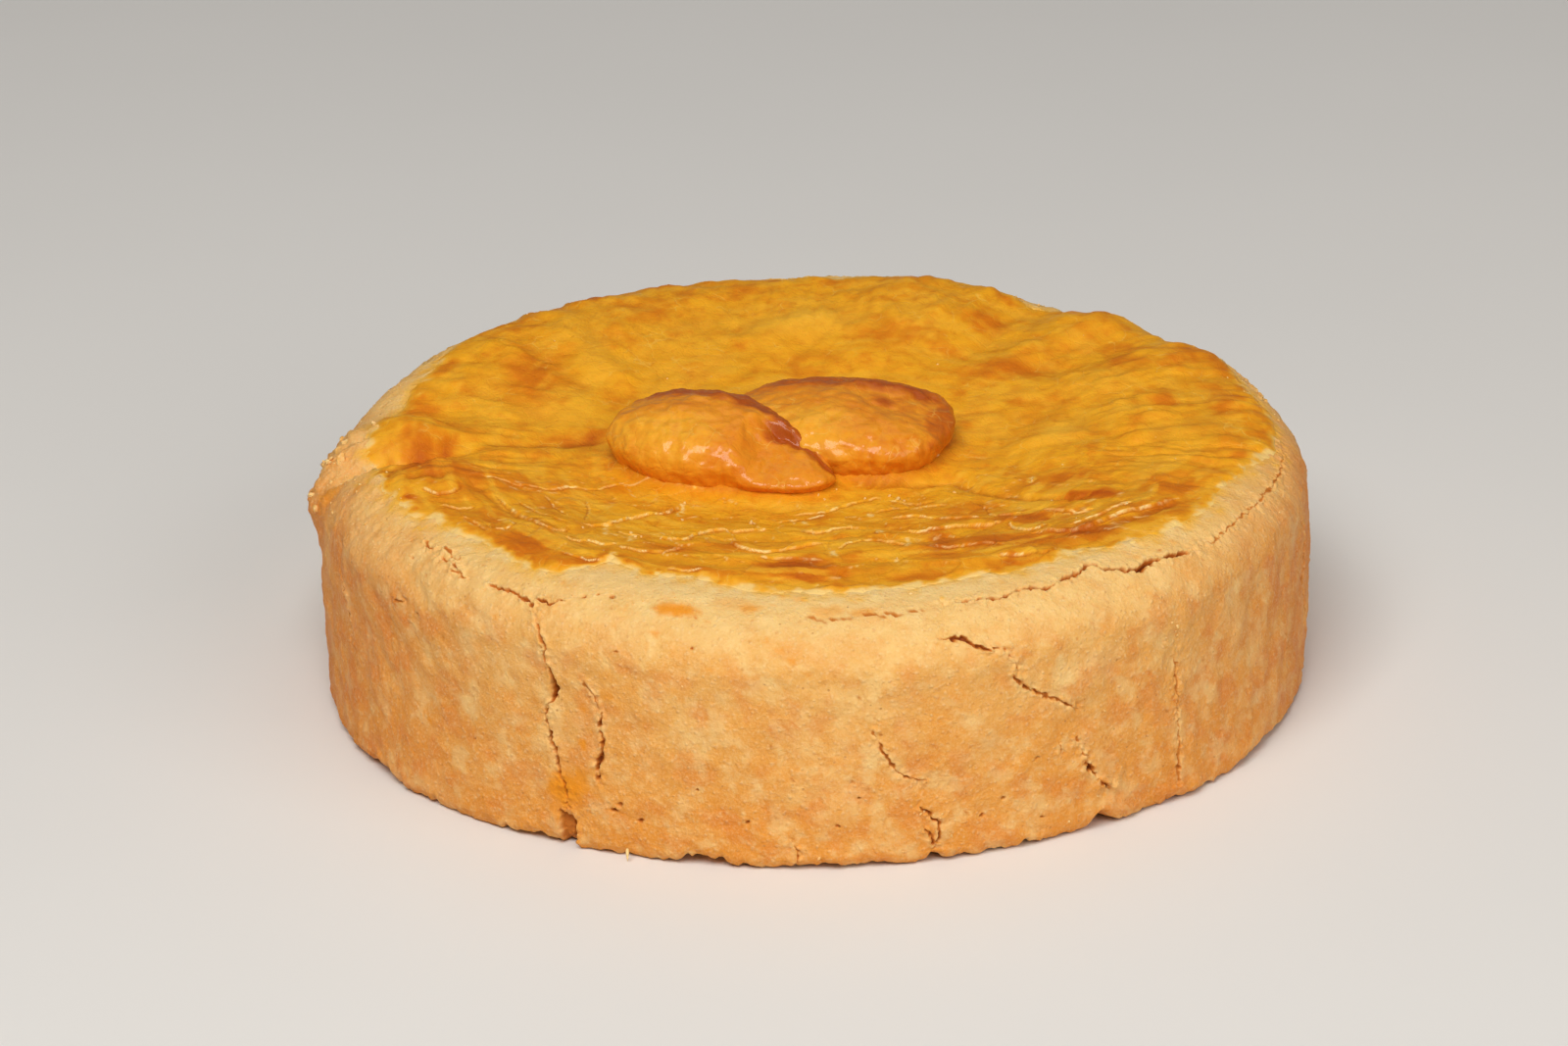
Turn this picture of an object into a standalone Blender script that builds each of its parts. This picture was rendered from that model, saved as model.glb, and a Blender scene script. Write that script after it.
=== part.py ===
"""A small round pork pie: one baked solid of pastry with a dished lid, and two plump dough ornaments on it.

Metres, +Z up. The origin is the middle of the flat base. -Y is the front, +X the right.
"""

import math

import bmesh
import bpy
import numpy as np

# ---------------------------------------------------------------- named sizes
MM = 0.001
PIE_RADIUS = 50.0 * MM      # outer wall
PIE_HEIGHT = 25.0 * MM      # mean height of the rim's crest
CREST_RADIUS = 42.0 * MM    # where the rim is highest
SHOULDER_DROP = 5.6 * MM    # from the crest down to where the wall begins
LID_DISH = 2.6 * MM         # how far the lid sinks inside the rim
DISH_START = 41.5 * MM      # radius where the lid starts to sink
DISH_RUN = 26.0 * MM        # radial run of the slope
FOOT_ROUND = 1.1 * MM       # small round at the bottom edge
FLAT_RADIUS = 46.0 * MM     # the part of the base that lies flat
STEPS = 112                 # facets round the pie

# (angle, half width, height): high and low places of the rim's crest, in degrees and mm
RIM_WAVES = (
    (168.0, 6.0, -1.3), (142.0, 10.0, 0.5), (114.0, 7.0, 0.3), (74.0, 9.0, 0.45),
    (54.0, 6.5, -1.3), (44.0, 4.0, 0.35), (35.0, 5.0, -0.9), (26.0, 5.0, 0.55),
    (12.0, 7.0, -0.5), (-40.0, 14.0, 0.25), (-84.0, 16.0, -0.25), (-122.0, 14.0, 0.3),
    (-172.0, 5.0, -0.5), (-160.0, 6.0, 0.5),
)
# (angle, half width, how far it stands out): bulges and dents of the wall, in degrees and mm
WALL_WAVES = (
    (-10.0, 22.0, 0.25), (-52.0, 18.0, -0.2), (-95.0, 20.0, 0.25), (-128.0, 14.0, -0.15),
    (-160.0, 16.0, 0.2), (150.0, 22.0, -0.25), (100.0, 20.0, 0.3), (58.0, 16.0, -0.35), (25.0, 14.0, 0.15),
)
# (angle, half width, lift): places where the bottom edge is chipped or lifted, in degrees and mm
FOOT_LIFTS = (
    (-105.5, 6.5, 1.0), (-118.8, 2.2, 0.7), (-148.0, 4.0, 0.6), (-57.5, 2.0, 0.6),
    (-28.0, 5.0, 0.5), (12.0, 7.0, 0.6), (48.0, 5.0, 0.5), (85.0, 8.0, 0.6), (131.0, 6.0, 0.7), (170.0, 7.0, 0.5),
)
# The crumb that stands out of the rim on the left: angle, half width, how far
RIM_CRUMB = (-175.0, 3.6, 1.3)
# A fold that runs in from the left rim towards the middle: points on it, depth and half width, in mm
FOLD_LINE = ((-45.5, -6.5), (-39.0, -3.6), (-32.0, 0.8), (-21.0, 3.2))
FOLD_DEPTH = (1.9, 1.5, 0.7, 0.3)
FOLD_WIDTH = (1.6, 1.9, 2.4, 2.4)
# Soft mounds of the lid: x, y, half width, height, in mm
LID_MOUNDS = (
    (-41.0, 1.6, 3.6, 0.8), (-38.0, -9.8, 4.2, 0.7), (-24.0, 30.0, 5.5, 0.7), (-8.0, 33.0, 6.5, -0.5),
    (12.0, 30.0, 7.5, 0.5), (27.0, 22.0, 6.0, -0.45), (31.0, 3.0, 6.5, 0.5), (20.0, -22.0, 7.0, -0.35),
    (-22.0, -16.0, 6.0, -0.4), (0.0, -30.0, 8.0, 0.3),
)
# Long ripples on the front of the lid, along the rim: radius, half width, height, in mm, and their arc in degrees
LID_RIPPLES = (
    (37.6, 1.5, 0.35, -90.0, 42.0), (33.2, 1.6, 0.42, -96.0, 38.0), (28.4, 1.7, 0.40, -80.0, 36.0),
    (23.0, 1.8, 0.30, -88.0, 34.0),
)

# The open crack at the foot of the front left wall: angle, width, height, depth
NOTCH_ANGLE = math.radians(-118.4)
NOTCH_WIDTH = 1.8 * MM
NOTCH_HEIGHT = 3.2 * MM
NOTCH_DEPTH = 3.0 * MM

# The ornaments: middle, half length, half width, height, direction of the long axis, how pointed the +end is
GAP = 0.35 * MM             # between an ornament and what it touches
ORNAMENTS = {
    "ornament_left": dict(at=(-9.3, -3.6), half=(11.5, 8.0), high=7.1, turn=-22.0, point=0.42),
    "ornament_right": dict(at=(3.5, 0.6), half=(11.0, 8.3), high=6.5, turn=-12.0, point=-0.10),
}

PASTRY = (0.78, 0.52, 0.26, 1.0)
GLAZED = (0.72, 0.36, 0.05, 1.0)


# ---------------------------------------------------------------- shape functions
def turn_between(a, b):
    """The angle from b to a in degrees, from -180 to 180."""
    return (a - b + 180.0) % 360.0 - 180.0


def waves(angle, table):
    """The sum of soft bumps along the rim at this angle, in metres."""
    total = np.zeros_like(angle)
    for at, half, high in table:
        total += high * np.exp(-((turn_between(angle, at) / half) ** 2))
    return total * MM


def smooth(t):
    """A soft step from 0 to 1."""
    t = np.clip(t, 0.0, 1.0)
    return t * t * (3.0 - 2.0 * t)


def fold_at(x, y):
    """How deep the left fold cuts the lid at a point, in metres."""
    depth = np.zeros_like(x)
    line = np.array(FOLD_LINE) * MM
    for i in range(len(line) - 1):
        a, b = line[i], line[i + 1]
        ab = b - a
        t = np.clip(((x - a[0]) * ab[0] + (y - a[1]) * ab[1]) / (ab @ ab), 0.0, 1.0)
        away = np.hypot(x - a[0] - ab[0] * t, y - a[1] - ab[1] * t)
        deep = (FOLD_DEPTH[i] * (1 - t) + FOLD_DEPTH[i + 1] * t) * MM
        wide = (FOLD_WIDTH[i] * (1 - t) + FOLD_WIDTH[i + 1] * t) * MM
        depth = np.maximum(depth, deep * np.exp(-((away / wide) ** 2)))
    return depth


def lid_height(x, y):
    """Height of the lid's surface over a point inside the crest, in metres."""
    r = np.hypot(x, y)
    angle = np.degrees(np.arctan2(y, x))
    rim = smooth((r / MM - 20.0) / 20.0)
    z = PIE_HEIGHT + waves(angle, RIM_WAVES) * rim
    z = z - LID_DISH * smooth((DISH_START - r) / DISH_RUN)
    z = z - fold_at(x, y)
    for mx, my, half, high in LID_MOUNDS:
        z = z + high * MM * np.exp(-(((x / MM - mx) ** 2 + (y / MM - my) ** 2) / half**2))
    for radius, half, high, mid, arc in LID_RIPPLES:
        sway = 1.2 * np.sin(np.radians(angle * 5.0 + radius * 9.0))
        z = z + high * MM * np.exp(-(((r / MM - radius - sway) / half) ** 2)) * np.exp(
            -((turn_between(angle, mid) / arc) ** 4)
        )
    return z


def wall_radius(angle, z):
    """Outer radius of the wall, in metres."""
    out = waves(angle, WALL_WAVES)
    belly = 0.25 * MM * np.sin(np.pi * np.clip(z / (PIE_HEIGHT - SHOULDER_DROP), 0.0, 1.0))
    return PIE_RADIUS + out + belly


def ornament_point(shape, u, ring):
    """A point of an ornament's outline at angle u and a share ring of the way out from its middle, in mm."""
    length, width = shape["half"]
    c, s = math.cos(u), math.sin(u)
    along = length * c
    across = width * s * (1.0 - shape["point"] * (0.5 + 0.5 * c) ** 2)
    t = math.radians(shape["turn"])
    return (
        shape["at"][0] + ring * (along * math.cos(t) - across * math.sin(t)),
        shape["at"][1] + ring * (along * math.sin(t) + across * math.cos(t)),
    )


# ---------------------------------------------------------------- Blender helpers
def material(name, colour, rough):
    made = bpy.data.materials.new(name)
    made.use_nodes = True
    made.diffuse_color = colour
    shader = made.node_tree.nodes["Principled BSDF"]
    shader.inputs["Base Color"].default_value = colour
    shader.inputs["Roughness"].default_value = rough
    shader.inputs["Metallic"].default_value = 0.0
    return made


def link(name, mesh, collection):
    obj = bpy.data.objects.new(name, mesh)
    collection.objects.link(obj)
    return obj


def profile_points():
    """(x, z) of the mean profile, from the middle of the lid, out over the rim, down the wall and back under."""
    points = [(0.0, PIE_HEIGHT - LID_DISH)]
    for r in (3.5, 7.0, 10.5, 14.0, 17.0, 20.0, 22.5, 25.0, 27.5, 30.0, 32.0, 34.0, 36.0, 38.0, 40.0):
        points.append((r * MM, PIE_HEIGHT))
    wall_top = PIE_HEIGHT - SHOULDER_DROP
    for i in range(7):
        t = math.radians(15.0 * i)
        points.append((
            CREST_RADIUS + (PIE_RADIUS - CREST_RADIUS) * math.sin(t),
            wall_top + SHOULDER_DROP * math.cos(t),
        ))
    for z in (15.5, 11.5, 7.5, 3.8):
        points.append((PIE_RADIUS, z * MM))
    for i in range(4):
        t = math.radians(30.0 * i)
        points.append((
            PIE_RADIUS - FOOT_ROUND + FOOT_ROUND * math.cos(t),
            FOOT_ROUND - FOOT_ROUND * math.sin(t),
        ))
    points.append((FLAT_RADIUS, 0.0))
    points.append((0.0, 0.0))
    return points


def spun(name, points, collection):
    """A closed turned solid made with a Screw modifier, as a plain mesh."""
    mesh = bpy.data.meshes.new(name + "_profile")
    mesh.from_pydata(
        [(x, 0.0, z) for x, z in points],
        [(i, i + 1) for i in range(len(points) - 1)],
        [],
    )
    source = link(name + "_profile", mesh, collection)
    screw = source.modifiers.new("Spin", "SCREW")
    screw.axis = "Z"
    screw.angle = math.tau
    screw.steps = STEPS
    screw.render_steps = STEPS
    screw.use_merge_vertices = True
    screw.merge_threshold = 0.00001
    graph = bpy.context.evaluated_depsgraph_get()
    solid = bpy.data.meshes.new_from_object(source.evaluated_get(graph))
    bpy.data.objects.remove(source)
    solid.name = name
    build = bmesh.new()
    build.from_mesh(solid)
    bmesh.ops.remove_doubles(build, verts=build.verts, dist=0.00001)
    bmesh.ops.recalc_face_normals(build, faces=build.faces)
    build.to_mesh(solid)
    build.free()
    return solid


def shape_pie(mesh):
    """Moves the turned solid's points to the baked shape: uneven rim, dished lid, soft wall, chipped foot."""
    n = len(mesh.vertices)
    co = np.empty(n * 3)
    mesh.vertices.foreach_get("co", co)
    co = co.reshape(-1, 3)
    x, y, z = co[:, 0].copy(), co[:, 1].copy(), co[:, 2].copy()
    r = np.hypot(x, y)
    angle = np.degrees(np.arctan2(y, x))
    wall_top = PIE_HEIGHT - SHOULDER_DROP
    high = z > wall_top + 0.01 * MM
    lid = high & (r < CREST_RADIUS - 0.1 * MM)
    shoulder = high & ~lid
    wall = ~high & (r > PIE_RADIUS - 0.05 * MM)

    new_r = r.copy()
    new_z = z.copy()
    new_z[lid] = lid_height(x[lid], y[lid])
    # the shoulder: the crest's height at this angle, scaled down to the wall
    reach = (r[shoulder] - CREST_RADIUS) / (PIE_RADIUS - CREST_RADIUS)
    cx = CREST_RADIUS * np.cos(np.radians(angle[shoulder]))
    cy = CREST_RADIUS * np.sin(np.radians(angle[shoulder]))
    crest = lid_height(cx, cy)
    share = (z[shoulder] - wall_top) / SHOULDER_DROP
    new_z[shoulder] = wall_top + share * (crest - wall_top)
    at, half, out = RIM_CRUMB
    crumb = out * MM * np.exp(-((turn_between(angle[shoulder], at) / half) ** 2)) * smooth(reach)
    outer = wall_radius(angle[shoulder], new_z[shoulder])
    new_r[shoulder] = CREST_RADIUS + (outer - CREST_RADIUS) * reach + crumb
    below = np.exp(-(((wall_top - z[wall]) / (3.0 * MM)) ** 2))
    crumb = out * MM * np.exp(-((turn_between(angle[wall], at) / half) ** 2)) * below
    new_r[wall] = wall_radius(angle[wall], z[wall]) + crumb
    # the foot: the edge is lifted here and there, the middle lies flat
    foot = ~high & ~wall & (r > FLAT_RADIUS + 0.1 * MM)
    new_r[foot] = r[foot] + waves(angle[foot], WALL_WAVES)
    near_foot = (foot | wall) & (z < 2.0 * MM)
    fade = np.clip(1.0 - z[near_foot] / (4.0 * MM), 0.0, 1.0)
    new_z[near_foot] = z[near_foot] + waves(angle[near_foot], FOOT_LIFTS) * fade

    with np.errstate(divide="ignore", invalid="ignore"):
        scale = np.where(r > 1e-9, new_r / r, 1.0)
    out_co = np.stack([x * scale, y * scale, new_z], -1)
    mesh.vertices.foreach_set("co", out_co.ravel())
    mesh.update()


def shade(mesh):
    mesh.shade_smooth()
    mesh.set_sharp_from_angle(angle=math.radians(50.0))


def make_pie(collection, cutters):
    mesh = spun("pie", profile_points(), cutters)
    shape_pie(mesh)
    pie = link("pie", mesh, collection)
    # the open crack at the foot: a tapered wedge is cut out
    cutter_mesh = bpy.data.meshes.new("notch_cutter")
    build = bmesh.new()
    bmesh.ops.create_cube(build, size=1.0)
    for v in build.verts:
        narrow = 1.0 if v.co.z < 0 else 0.35
        inner = 0.4 if v.co.x < 0 else 1.0
        v.co.x *= 2.0 * NOTCH_DEPTH
        v.co.y *= NOTCH_WIDTH * narrow * inner
        v.co.z = -1.0 * MM if v.co.z < 0 else NOTCH_HEIGHT
    build.to_mesh(cutter_mesh)
    build.free()
    cutter = link("notch_cutter", cutter_mesh, cutters)
    cutter.location = (
        PIE_RADIUS * math.cos(NOTCH_ANGLE),
        PIE_RADIUS * math.sin(NOTCH_ANGLE),
        0.0,
    )
    cutter.rotation_euler = (0.0, 0.0, NOTCH_ANGLE)
    cutter.hide_render = True
    cutter.display_type = "WIRE"
    cut = pie.modifiers.new("Notch", "BOOLEAN")
    cut.operation = "DIFFERENCE"
    cut.solver = "EXACT"
    cut.object = cutter
    mesh.materials.append(material("pastry", PASTRY, 0.7))
    shade(mesh)
    return pie


def make_ornament(name, shape, collection):
    """A plump lump of dough: a UV sphere pressed onto the lid, its underside following the lid at a small gap."""
    mesh = bpy.data.meshes.new(name)
    build = bmesh.new()
    bmesh.ops.create_uvsphere(build, u_segments=28, v_segments=16, radius=1.0)
    low = math.sin(math.radians(-24.0))
    for v in build.verts:
        u = math.atan2(v.co.y, v.co.x)
        ring = math.hypot(v.co.x, v.co.y)
        level = max(0.0, (v.co.z - low) / (1.0 - low))
        px, py = ornament_point(shape, u, ring)
        high = shape["high"] * level
        if name == "ornament_left":  # it gets lower towards its pointed end, with a step before the tip
            along = ring * math.cos(u)
            high *= 1.0 - 0.40 * smooth((along + 0.1) / 1.1) - 0.16 * smooth((along - 0.5) / 0.2)
        floor = lid_height(np.array([px * MM]), np.array([py * MM]))[0]
        v.co = (px * MM, py * MM, floor + GAP + high * MM)
    build.to_mesh(mesh)
    build.free()
    obj = link(name, mesh, collection)
    mesh.materials.append(material(name + "_glaze", GLAZED, 0.4))
    shade(mesh)
    return obj


def main():
    for obj in list(bpy.data.objects):
        bpy.data.objects.remove(obj)
    scene = bpy.context.scene
    parts = bpy.data.collections.new("pork_pie")
    cutters = bpy.data.collections.new("cutters")
    scene.collection.children.link(parts)
    scene.collection.children.link(cutters)

    make_pie(parts, cutters)
    left = make_ornament("ornament_left", ORNAMENTS["ornament_left"], parts)
    right = make_ornament("ornament_right", ORNAMENTS["ornament_right"], parts)

    # The right lump is tucked behind the left one, which presses its own shape into it.
    pressed = left.data.copy()
    middle = np.array([*ORNAMENTS["ornament_left"]["at"], 0.0]) * MM
    middle[2] = PIE_HEIGHT - LID_DISH + 2.0 * MM
    half = ORNAMENTS["ornament_left"]["half"]
    grow = 1.0 + GAP / (half[1] * MM)
    for v in pressed.vertices:
        for i in range(3):
            v.co[i] = middle[i] + (v.co[i] - middle[i]) * grow
        if v.co.z < middle[2] - 1.0 * MM:
            v.co.z -= 2.0 * MM
    cutter = link("press_cutter", pressed, cutters)
    cutter.hide_render = True
    cutter.display_type = "WIRE"
    cut = right.modifiers.new("Press", "BOOLEAN")
    cut.operation = "DIFFERENCE"
    cut.solver = "EXACT"
    cut.object = cutter


main()
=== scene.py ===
import math

import bmesh
import bpy
import numpy as np
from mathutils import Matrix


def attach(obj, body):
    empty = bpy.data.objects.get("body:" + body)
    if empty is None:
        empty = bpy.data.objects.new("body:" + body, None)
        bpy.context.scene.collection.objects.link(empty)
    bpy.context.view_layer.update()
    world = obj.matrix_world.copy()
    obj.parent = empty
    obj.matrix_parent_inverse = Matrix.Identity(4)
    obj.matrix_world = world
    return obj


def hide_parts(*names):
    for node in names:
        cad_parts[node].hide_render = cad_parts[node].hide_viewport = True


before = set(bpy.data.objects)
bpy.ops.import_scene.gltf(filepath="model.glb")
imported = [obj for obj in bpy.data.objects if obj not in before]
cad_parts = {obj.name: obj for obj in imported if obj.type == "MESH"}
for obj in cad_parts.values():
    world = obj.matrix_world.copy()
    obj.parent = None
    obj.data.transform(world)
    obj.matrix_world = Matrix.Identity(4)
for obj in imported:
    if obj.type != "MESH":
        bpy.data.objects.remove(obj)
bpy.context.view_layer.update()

MM = 0.001

# ---------------------------------------------------------------- the pie's form, the same rules as in part.py
PIE_RADIUS, PIE_HEIGHT, CREST_RADIUS, SHOULDER_DROP = 50.0, 25.0, 42.0, 5.6
LID_DISH, DISH_START, DISH_RUN = 2.6, 41.5, 26.0
WALL_TOP = PIE_HEIGHT - SHOULDER_DROP
ARC = 10.8                                   # length over the rounded shoulder, crest to wall
RIM_WAVES = (
    (168.0, 6.0, -1.3), (142.0, 10.0, 0.5), (114.0, 7.0, 0.3), (74.0, 9.0, 0.45),
    (54.0, 6.5, -1.3), (44.0, 4.0, 0.35), (35.0, 5.0, -0.9), (26.0, 5.0, 0.55),
    (12.0, 7.0, -0.5), (-40.0, 14.0, 0.25), (-84.0, 16.0, -0.25), (-122.0, 14.0, 0.3),
    (-172.0, 5.0, -0.5), (-160.0, 6.0, 0.5),
)
WALL_WAVES = (
    (-10.0, 22.0, 0.25), (-52.0, 18.0, -0.2), (-95.0, 20.0, 0.25), (-128.0, 14.0, -0.15),
    (-160.0, 16.0, 0.2), (150.0, 22.0, -0.25), (100.0, 20.0, 0.3), (58.0, 16.0, -0.35), (25.0, 14.0, 0.15),
)
FOOT_LIFTS = (
    (-102.8, 2.6, 0.75), (-122.8, 3.4, 0.40), (-90.0, 5.0, 0.25), (-148.0, 4.0, 0.6), (-57.5, 2.0, 0.6),
    (-28.0, 5.0, 0.5), (12.0, 7.0, 0.6), (48.0, 5.0, 0.5), (85.0, 8.0, 0.6), (131.0, 6.0, 0.7), (170.0, 7.0, 0.5),
)
RIM_CRUMB = (-175.0, 3.6, 1.3)
FOLD_LINE = ((-45.5, -6.5), (-39.0, -3.6), (-32.0, 0.8), (-21.0, 3.2))
FOLD_DEPTH = (1.9, 1.5, 0.7, 0.3)
FOLD_WIDTH = (1.6, 1.9, 2.4, 2.4)
LID_MOUNDS = (
    (-41.0, 1.6, 3.6, 0.8), (-38.0, -9.8, 4.2, 0.7), (-24.0, 30.0, 5.5, 0.7), (-8.0, 33.0, 6.5, -0.5),
    (12.0, 30.0, 7.5, 0.5), (27.0, 22.0, 6.0, -0.45), (31.0, 3.0, 6.5, 0.5), (20.0, -22.0, 7.0, -0.35),
    (-22.0, -16.0, 6.0, -0.4), (0.0, -30.0, 8.0, 0.3),
)
LID_RIPPLES = ((37.6, 1.5, 0.35, -90.0, 42.0), (33.2, 1.6, 0.42, -96.0, 38.0), (28.4, 1.7, 0.40, -80.0, 36.0), (23.0, 1.8, 0.30, -88.0, 34.0))
ORNAMENTS = {
    "ornament_left": dict(at=(-9.3, -3.6), half=(11.5, 8.0), high=7.1, turn=-22.0, point=0.42),
    "ornament_right": dict(at=(3.5, 0.6), half=(11.0, 8.3), high=6.5, turn=-12.0, point=-0.10),
}
GAP = 0.35

# where the egg wash ends: direction, distance out along the lid and over the shoulder
WASH_EDGE = (
    (-180.0, 44.9), (-177.0, 44.9), (-174.0, 44.4), (-171.0, 44.4), (-168.0, 44.5), (-165.0, 44.7), (-162.0, 44.8), (-159.0, 44.8),
    (-156.0, 44.4), (-153.0, 44.2), (-150.0, 43.4), (-147.0, 43.4), (-144.0, 43.3), (-141.0, 42.9), (-138.0, 42.8), (-135.0, 43.1),
    (-132.0, 43.7), (-129.0, 44.1), (-126.0, 44.2), (-123.0, 42.8), (-120.0, 39.7), (-117.0, 39.9), (-114.0, 40.6), (-111.0, 40.3),
    (-108.0, 39.9), (-105.0, 40.3), (-102.0, 40.4), (-99.0, 41.3), (-96.0, 41.8), (-93.0, 41.0), (-90.0, 41.9), (-87.0, 41.7),
    (-84.0, 41.4), (-81.0, 41.4), (-78.0, 41.5), (-75.0, 41.0), (-72.0, 41.3), (-69.0, 40.9), (-66.0, 41.6), (-63.0, 41.9),
    (-60.0, 42.0), (-57.0, 41.7), (-54.0, 41.7), (-51.0, 42.2), (-48.0, 43.0), (-45.0, 43.6), (-42.0, 43.8), (-39.0, 43.9),
    (-36.0, 44.3), (-33.0, 44.1), (-30.0, 44.2), (-27.0, 43.6), (-24.0, 43.6), (-21.0, 43.6), (-18.0, 44.2), (-15.0, 44.5),
    (-12.0, 45.5), (-9.0, 46.2), (-6.0, 46.6), (4.0, 46.8), (14.0, 46.4), (24.0, 47.2), (32.0, 46.4), (40.0, 46.9), (48.0, 46.2),
    (57.0, 44.1), (66.0, 46.2), (72.0, 45.2), (78.0, 45.4), (85.0, 43.4), (93.0, 45.4), (102.0, 46.6), (110.0, 46.0), (121.0, 46.8),
    (132.0, 46.0), (140.0, 46.2), (148.0, 45.0), (158.0, 43.9), (167.0, 43.6), (173.0, 44.6),
)

# lines on the lid where a flake of the skin ends: points, height of the lip, how far the lip reaches back
FLAKES = (
    (((-31.6, -15.6), (-30.3, -18.4), (-29.1, -20.6), (-27.8, -22.7), (-26.2, -24.5), (-24.3, -25.4), (-23.8, -23.2)), 0.34, 1.8),
    (((-23.4, -22.6), (-21.8, -23.2), (-20.5, -22.7), (-19.2, -21.3), (-17.6, -19.5), (-16.0, -18.6), (-14.6, -17.7), (-13.6, -16.0), (-13.0, -14.0)), 0.36, 2.2),
    (((-29.4, -16.4), (-28.2, -18.6), (-26.6, -20.8), (-25.0, -22.6), (-23.6, -23.2)), 0.16, 1.2),
    (((-32.1, -23.2), (-31.4, -25.4), (-30.0, -25.8), (-29.2, -24.0), (-30.2, -22.4)), 0.28, 1.1),
    (((-38.9, -15.7), (-37.0, -17.0), (-35.2, -16.4), (-34.8, -14.6)), 0.30, 1.2),
    (((-36.8, -19.4), (-34.6, -20.2), (-33.2, -19.2)), 0.24, 1.0),
    (((-34.4, -22.6), (-33.0, -24.0), (-31.6, -26.2)), 0.20, 1.0),
    (((-24.6, -27.6), (-23.3, -28.4), (-22.2, -27.9), (-21.2, -28.9), (-19.6, -29.4), (-18.8, -28.6)), 0.26, 1.3),
    (((-19.3, -29.9), (-17.8, -31.1), (-16.2, -31.8), (-14.6, -31.9), (-13.3, -31.1), (-12.6, -30.0)), 0.26, 1.4),
    (((-15.6, -25.2), (-15.1, -26.3), (-14.2, -27.0), (-12.7, -27.3), (-11.9, -25.6), (-11.0, -23.9), (-9.6, -22.9), (-7.4, -23.4), (-5.1, -23.3), (-3.6, -22.2)), 0.34, 1.8),
    (((-19.4, -24.8), (-18.6, -25.8), (-17.0, -25.9)), 0.18, 0.9),
    (((-24.6, -31.8), (-23.3, -33.3), (-21.1, -34.3), (-19.6, -34.2)), 0.24, 1.2),
    (((-8.6, -26.8), (-8.2, -28.2), (-7.4, -29.7), (-5.5, -30.8), (-2.8, -30.6), (-0.5, -29.8), (1.3, -29.2)), 0.32, 1.6),
    (((-5.9, -33.2), (-4.4, -33.8), (-1.6, -33.9), (0.8, -34.4)), 0.26, 1.2),
    (((-14.4, -36.2), (-12.6, -36.9), (-10.8, -36.8)), 0.20, 1.0),
    (((-1.5, -22.6), (-1.2, -24.2), (-0.2, -24.8), (0.8, -24.6), (2.1, -23.3), (3.9, -22.7), (5.4, -23.4)), 0.28, 1.3),
    (((5.9, -24.2), (6.1, -26.4)), 0.20, 0.8),
    (((-2.4, -17.7), (-0.6, -16.8), (1.0, -17.0), (3.6, -14.6), (5.6, -13.7), (7.2, -13.4)), 0.26, 1.5),
    (((7.2, -14.0), (8.8, -14.9), (10.4, -15.2), (12.2, -14.4)), 0.24, 1.2),
    (((-4.0, -19.6), (-2.0, -19.2), (0.0, -17.9), (1.4, -17.6)), 0.20, 1.2),
    (((5.6, -17.2), (8.0, -16.2), (10.6, -16.6), (13.4, -15.8)), 0.22, 1.4),
    (((6.4, -20.4), (9.6, -20.0), (13.2, -20.6), (17.0, -21.6)), 0.26, 1.6),
    (((7.8, -24.4), (8.9, -25.5), (11.2, -25.2), (13.0, -24.4), (16.2, -24.1), (18.0, -23.7), (18.4, -22.6)), 0.36, 2.0),
    (((2.0, -31.8), (2.3, -30.2), (3.9, -28.5), (6.2, -27.6), (8.2, -27.9), (8.9, -29.3), (8.6, -31.4)), 0.24, 1.1),
    (((18.5, -23.4), (19.2, -25.4), (20.3, -26.9), (21.8, -26.6), (22.6, -25.2)), 0.30, 1.3),
    (((16.8, -19.0), (17.8, -20.6), (19.2, -21.0), (20.6, -20.0)), 0.24, 1.1),
    (((22.2, -20.4), (24.0, -21.6), (25.8, -22.6), (27.6, -22.2)), 0.28, 1.2),
    (((20.2, -27.6), (23.5, -27.6), (25.7, -28.1), (27.1, -27.0), (28.9, -25.3), (30.7, -24.3), (33.0, -23.1), (35.2, -21.2)), 0.44, 1.8),
    (((24.4, -27.0), (25.7, -25.7), (27.5, -24.7), (29.2, -23.1), (31.4, -21.6)), 0.30, 1.2),
    (((16.8, -34.4), (18.8, -34.6), (21.4, -33.9), (23.6, -32.6)), 0.26, 1.2),
    (((10.8, -30.2), (13.0, -31.0), (15.6, -30.4), (18.2, -31.2)), 0.22, 1.4),
    (((-34.6, -12.2), (-31.8, -11.6), (-29.4, -12.6), (-27.7, -12.4), (-26.0, -12.8), (-24.2, -11.0), (-21.8, -11.2), (-20.5, -10.0), (-18.2, -8.2)), 0.18, 2.4),
    (((-26.8, -14.2), (-25.6, -17.4), (-24.2, -20.4)), 0.14, 1.3),
    (((-22.6, -14.6), (-22.2, -17.8), (-22.6, -21.4)), 0.12, 1.2),
)
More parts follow.
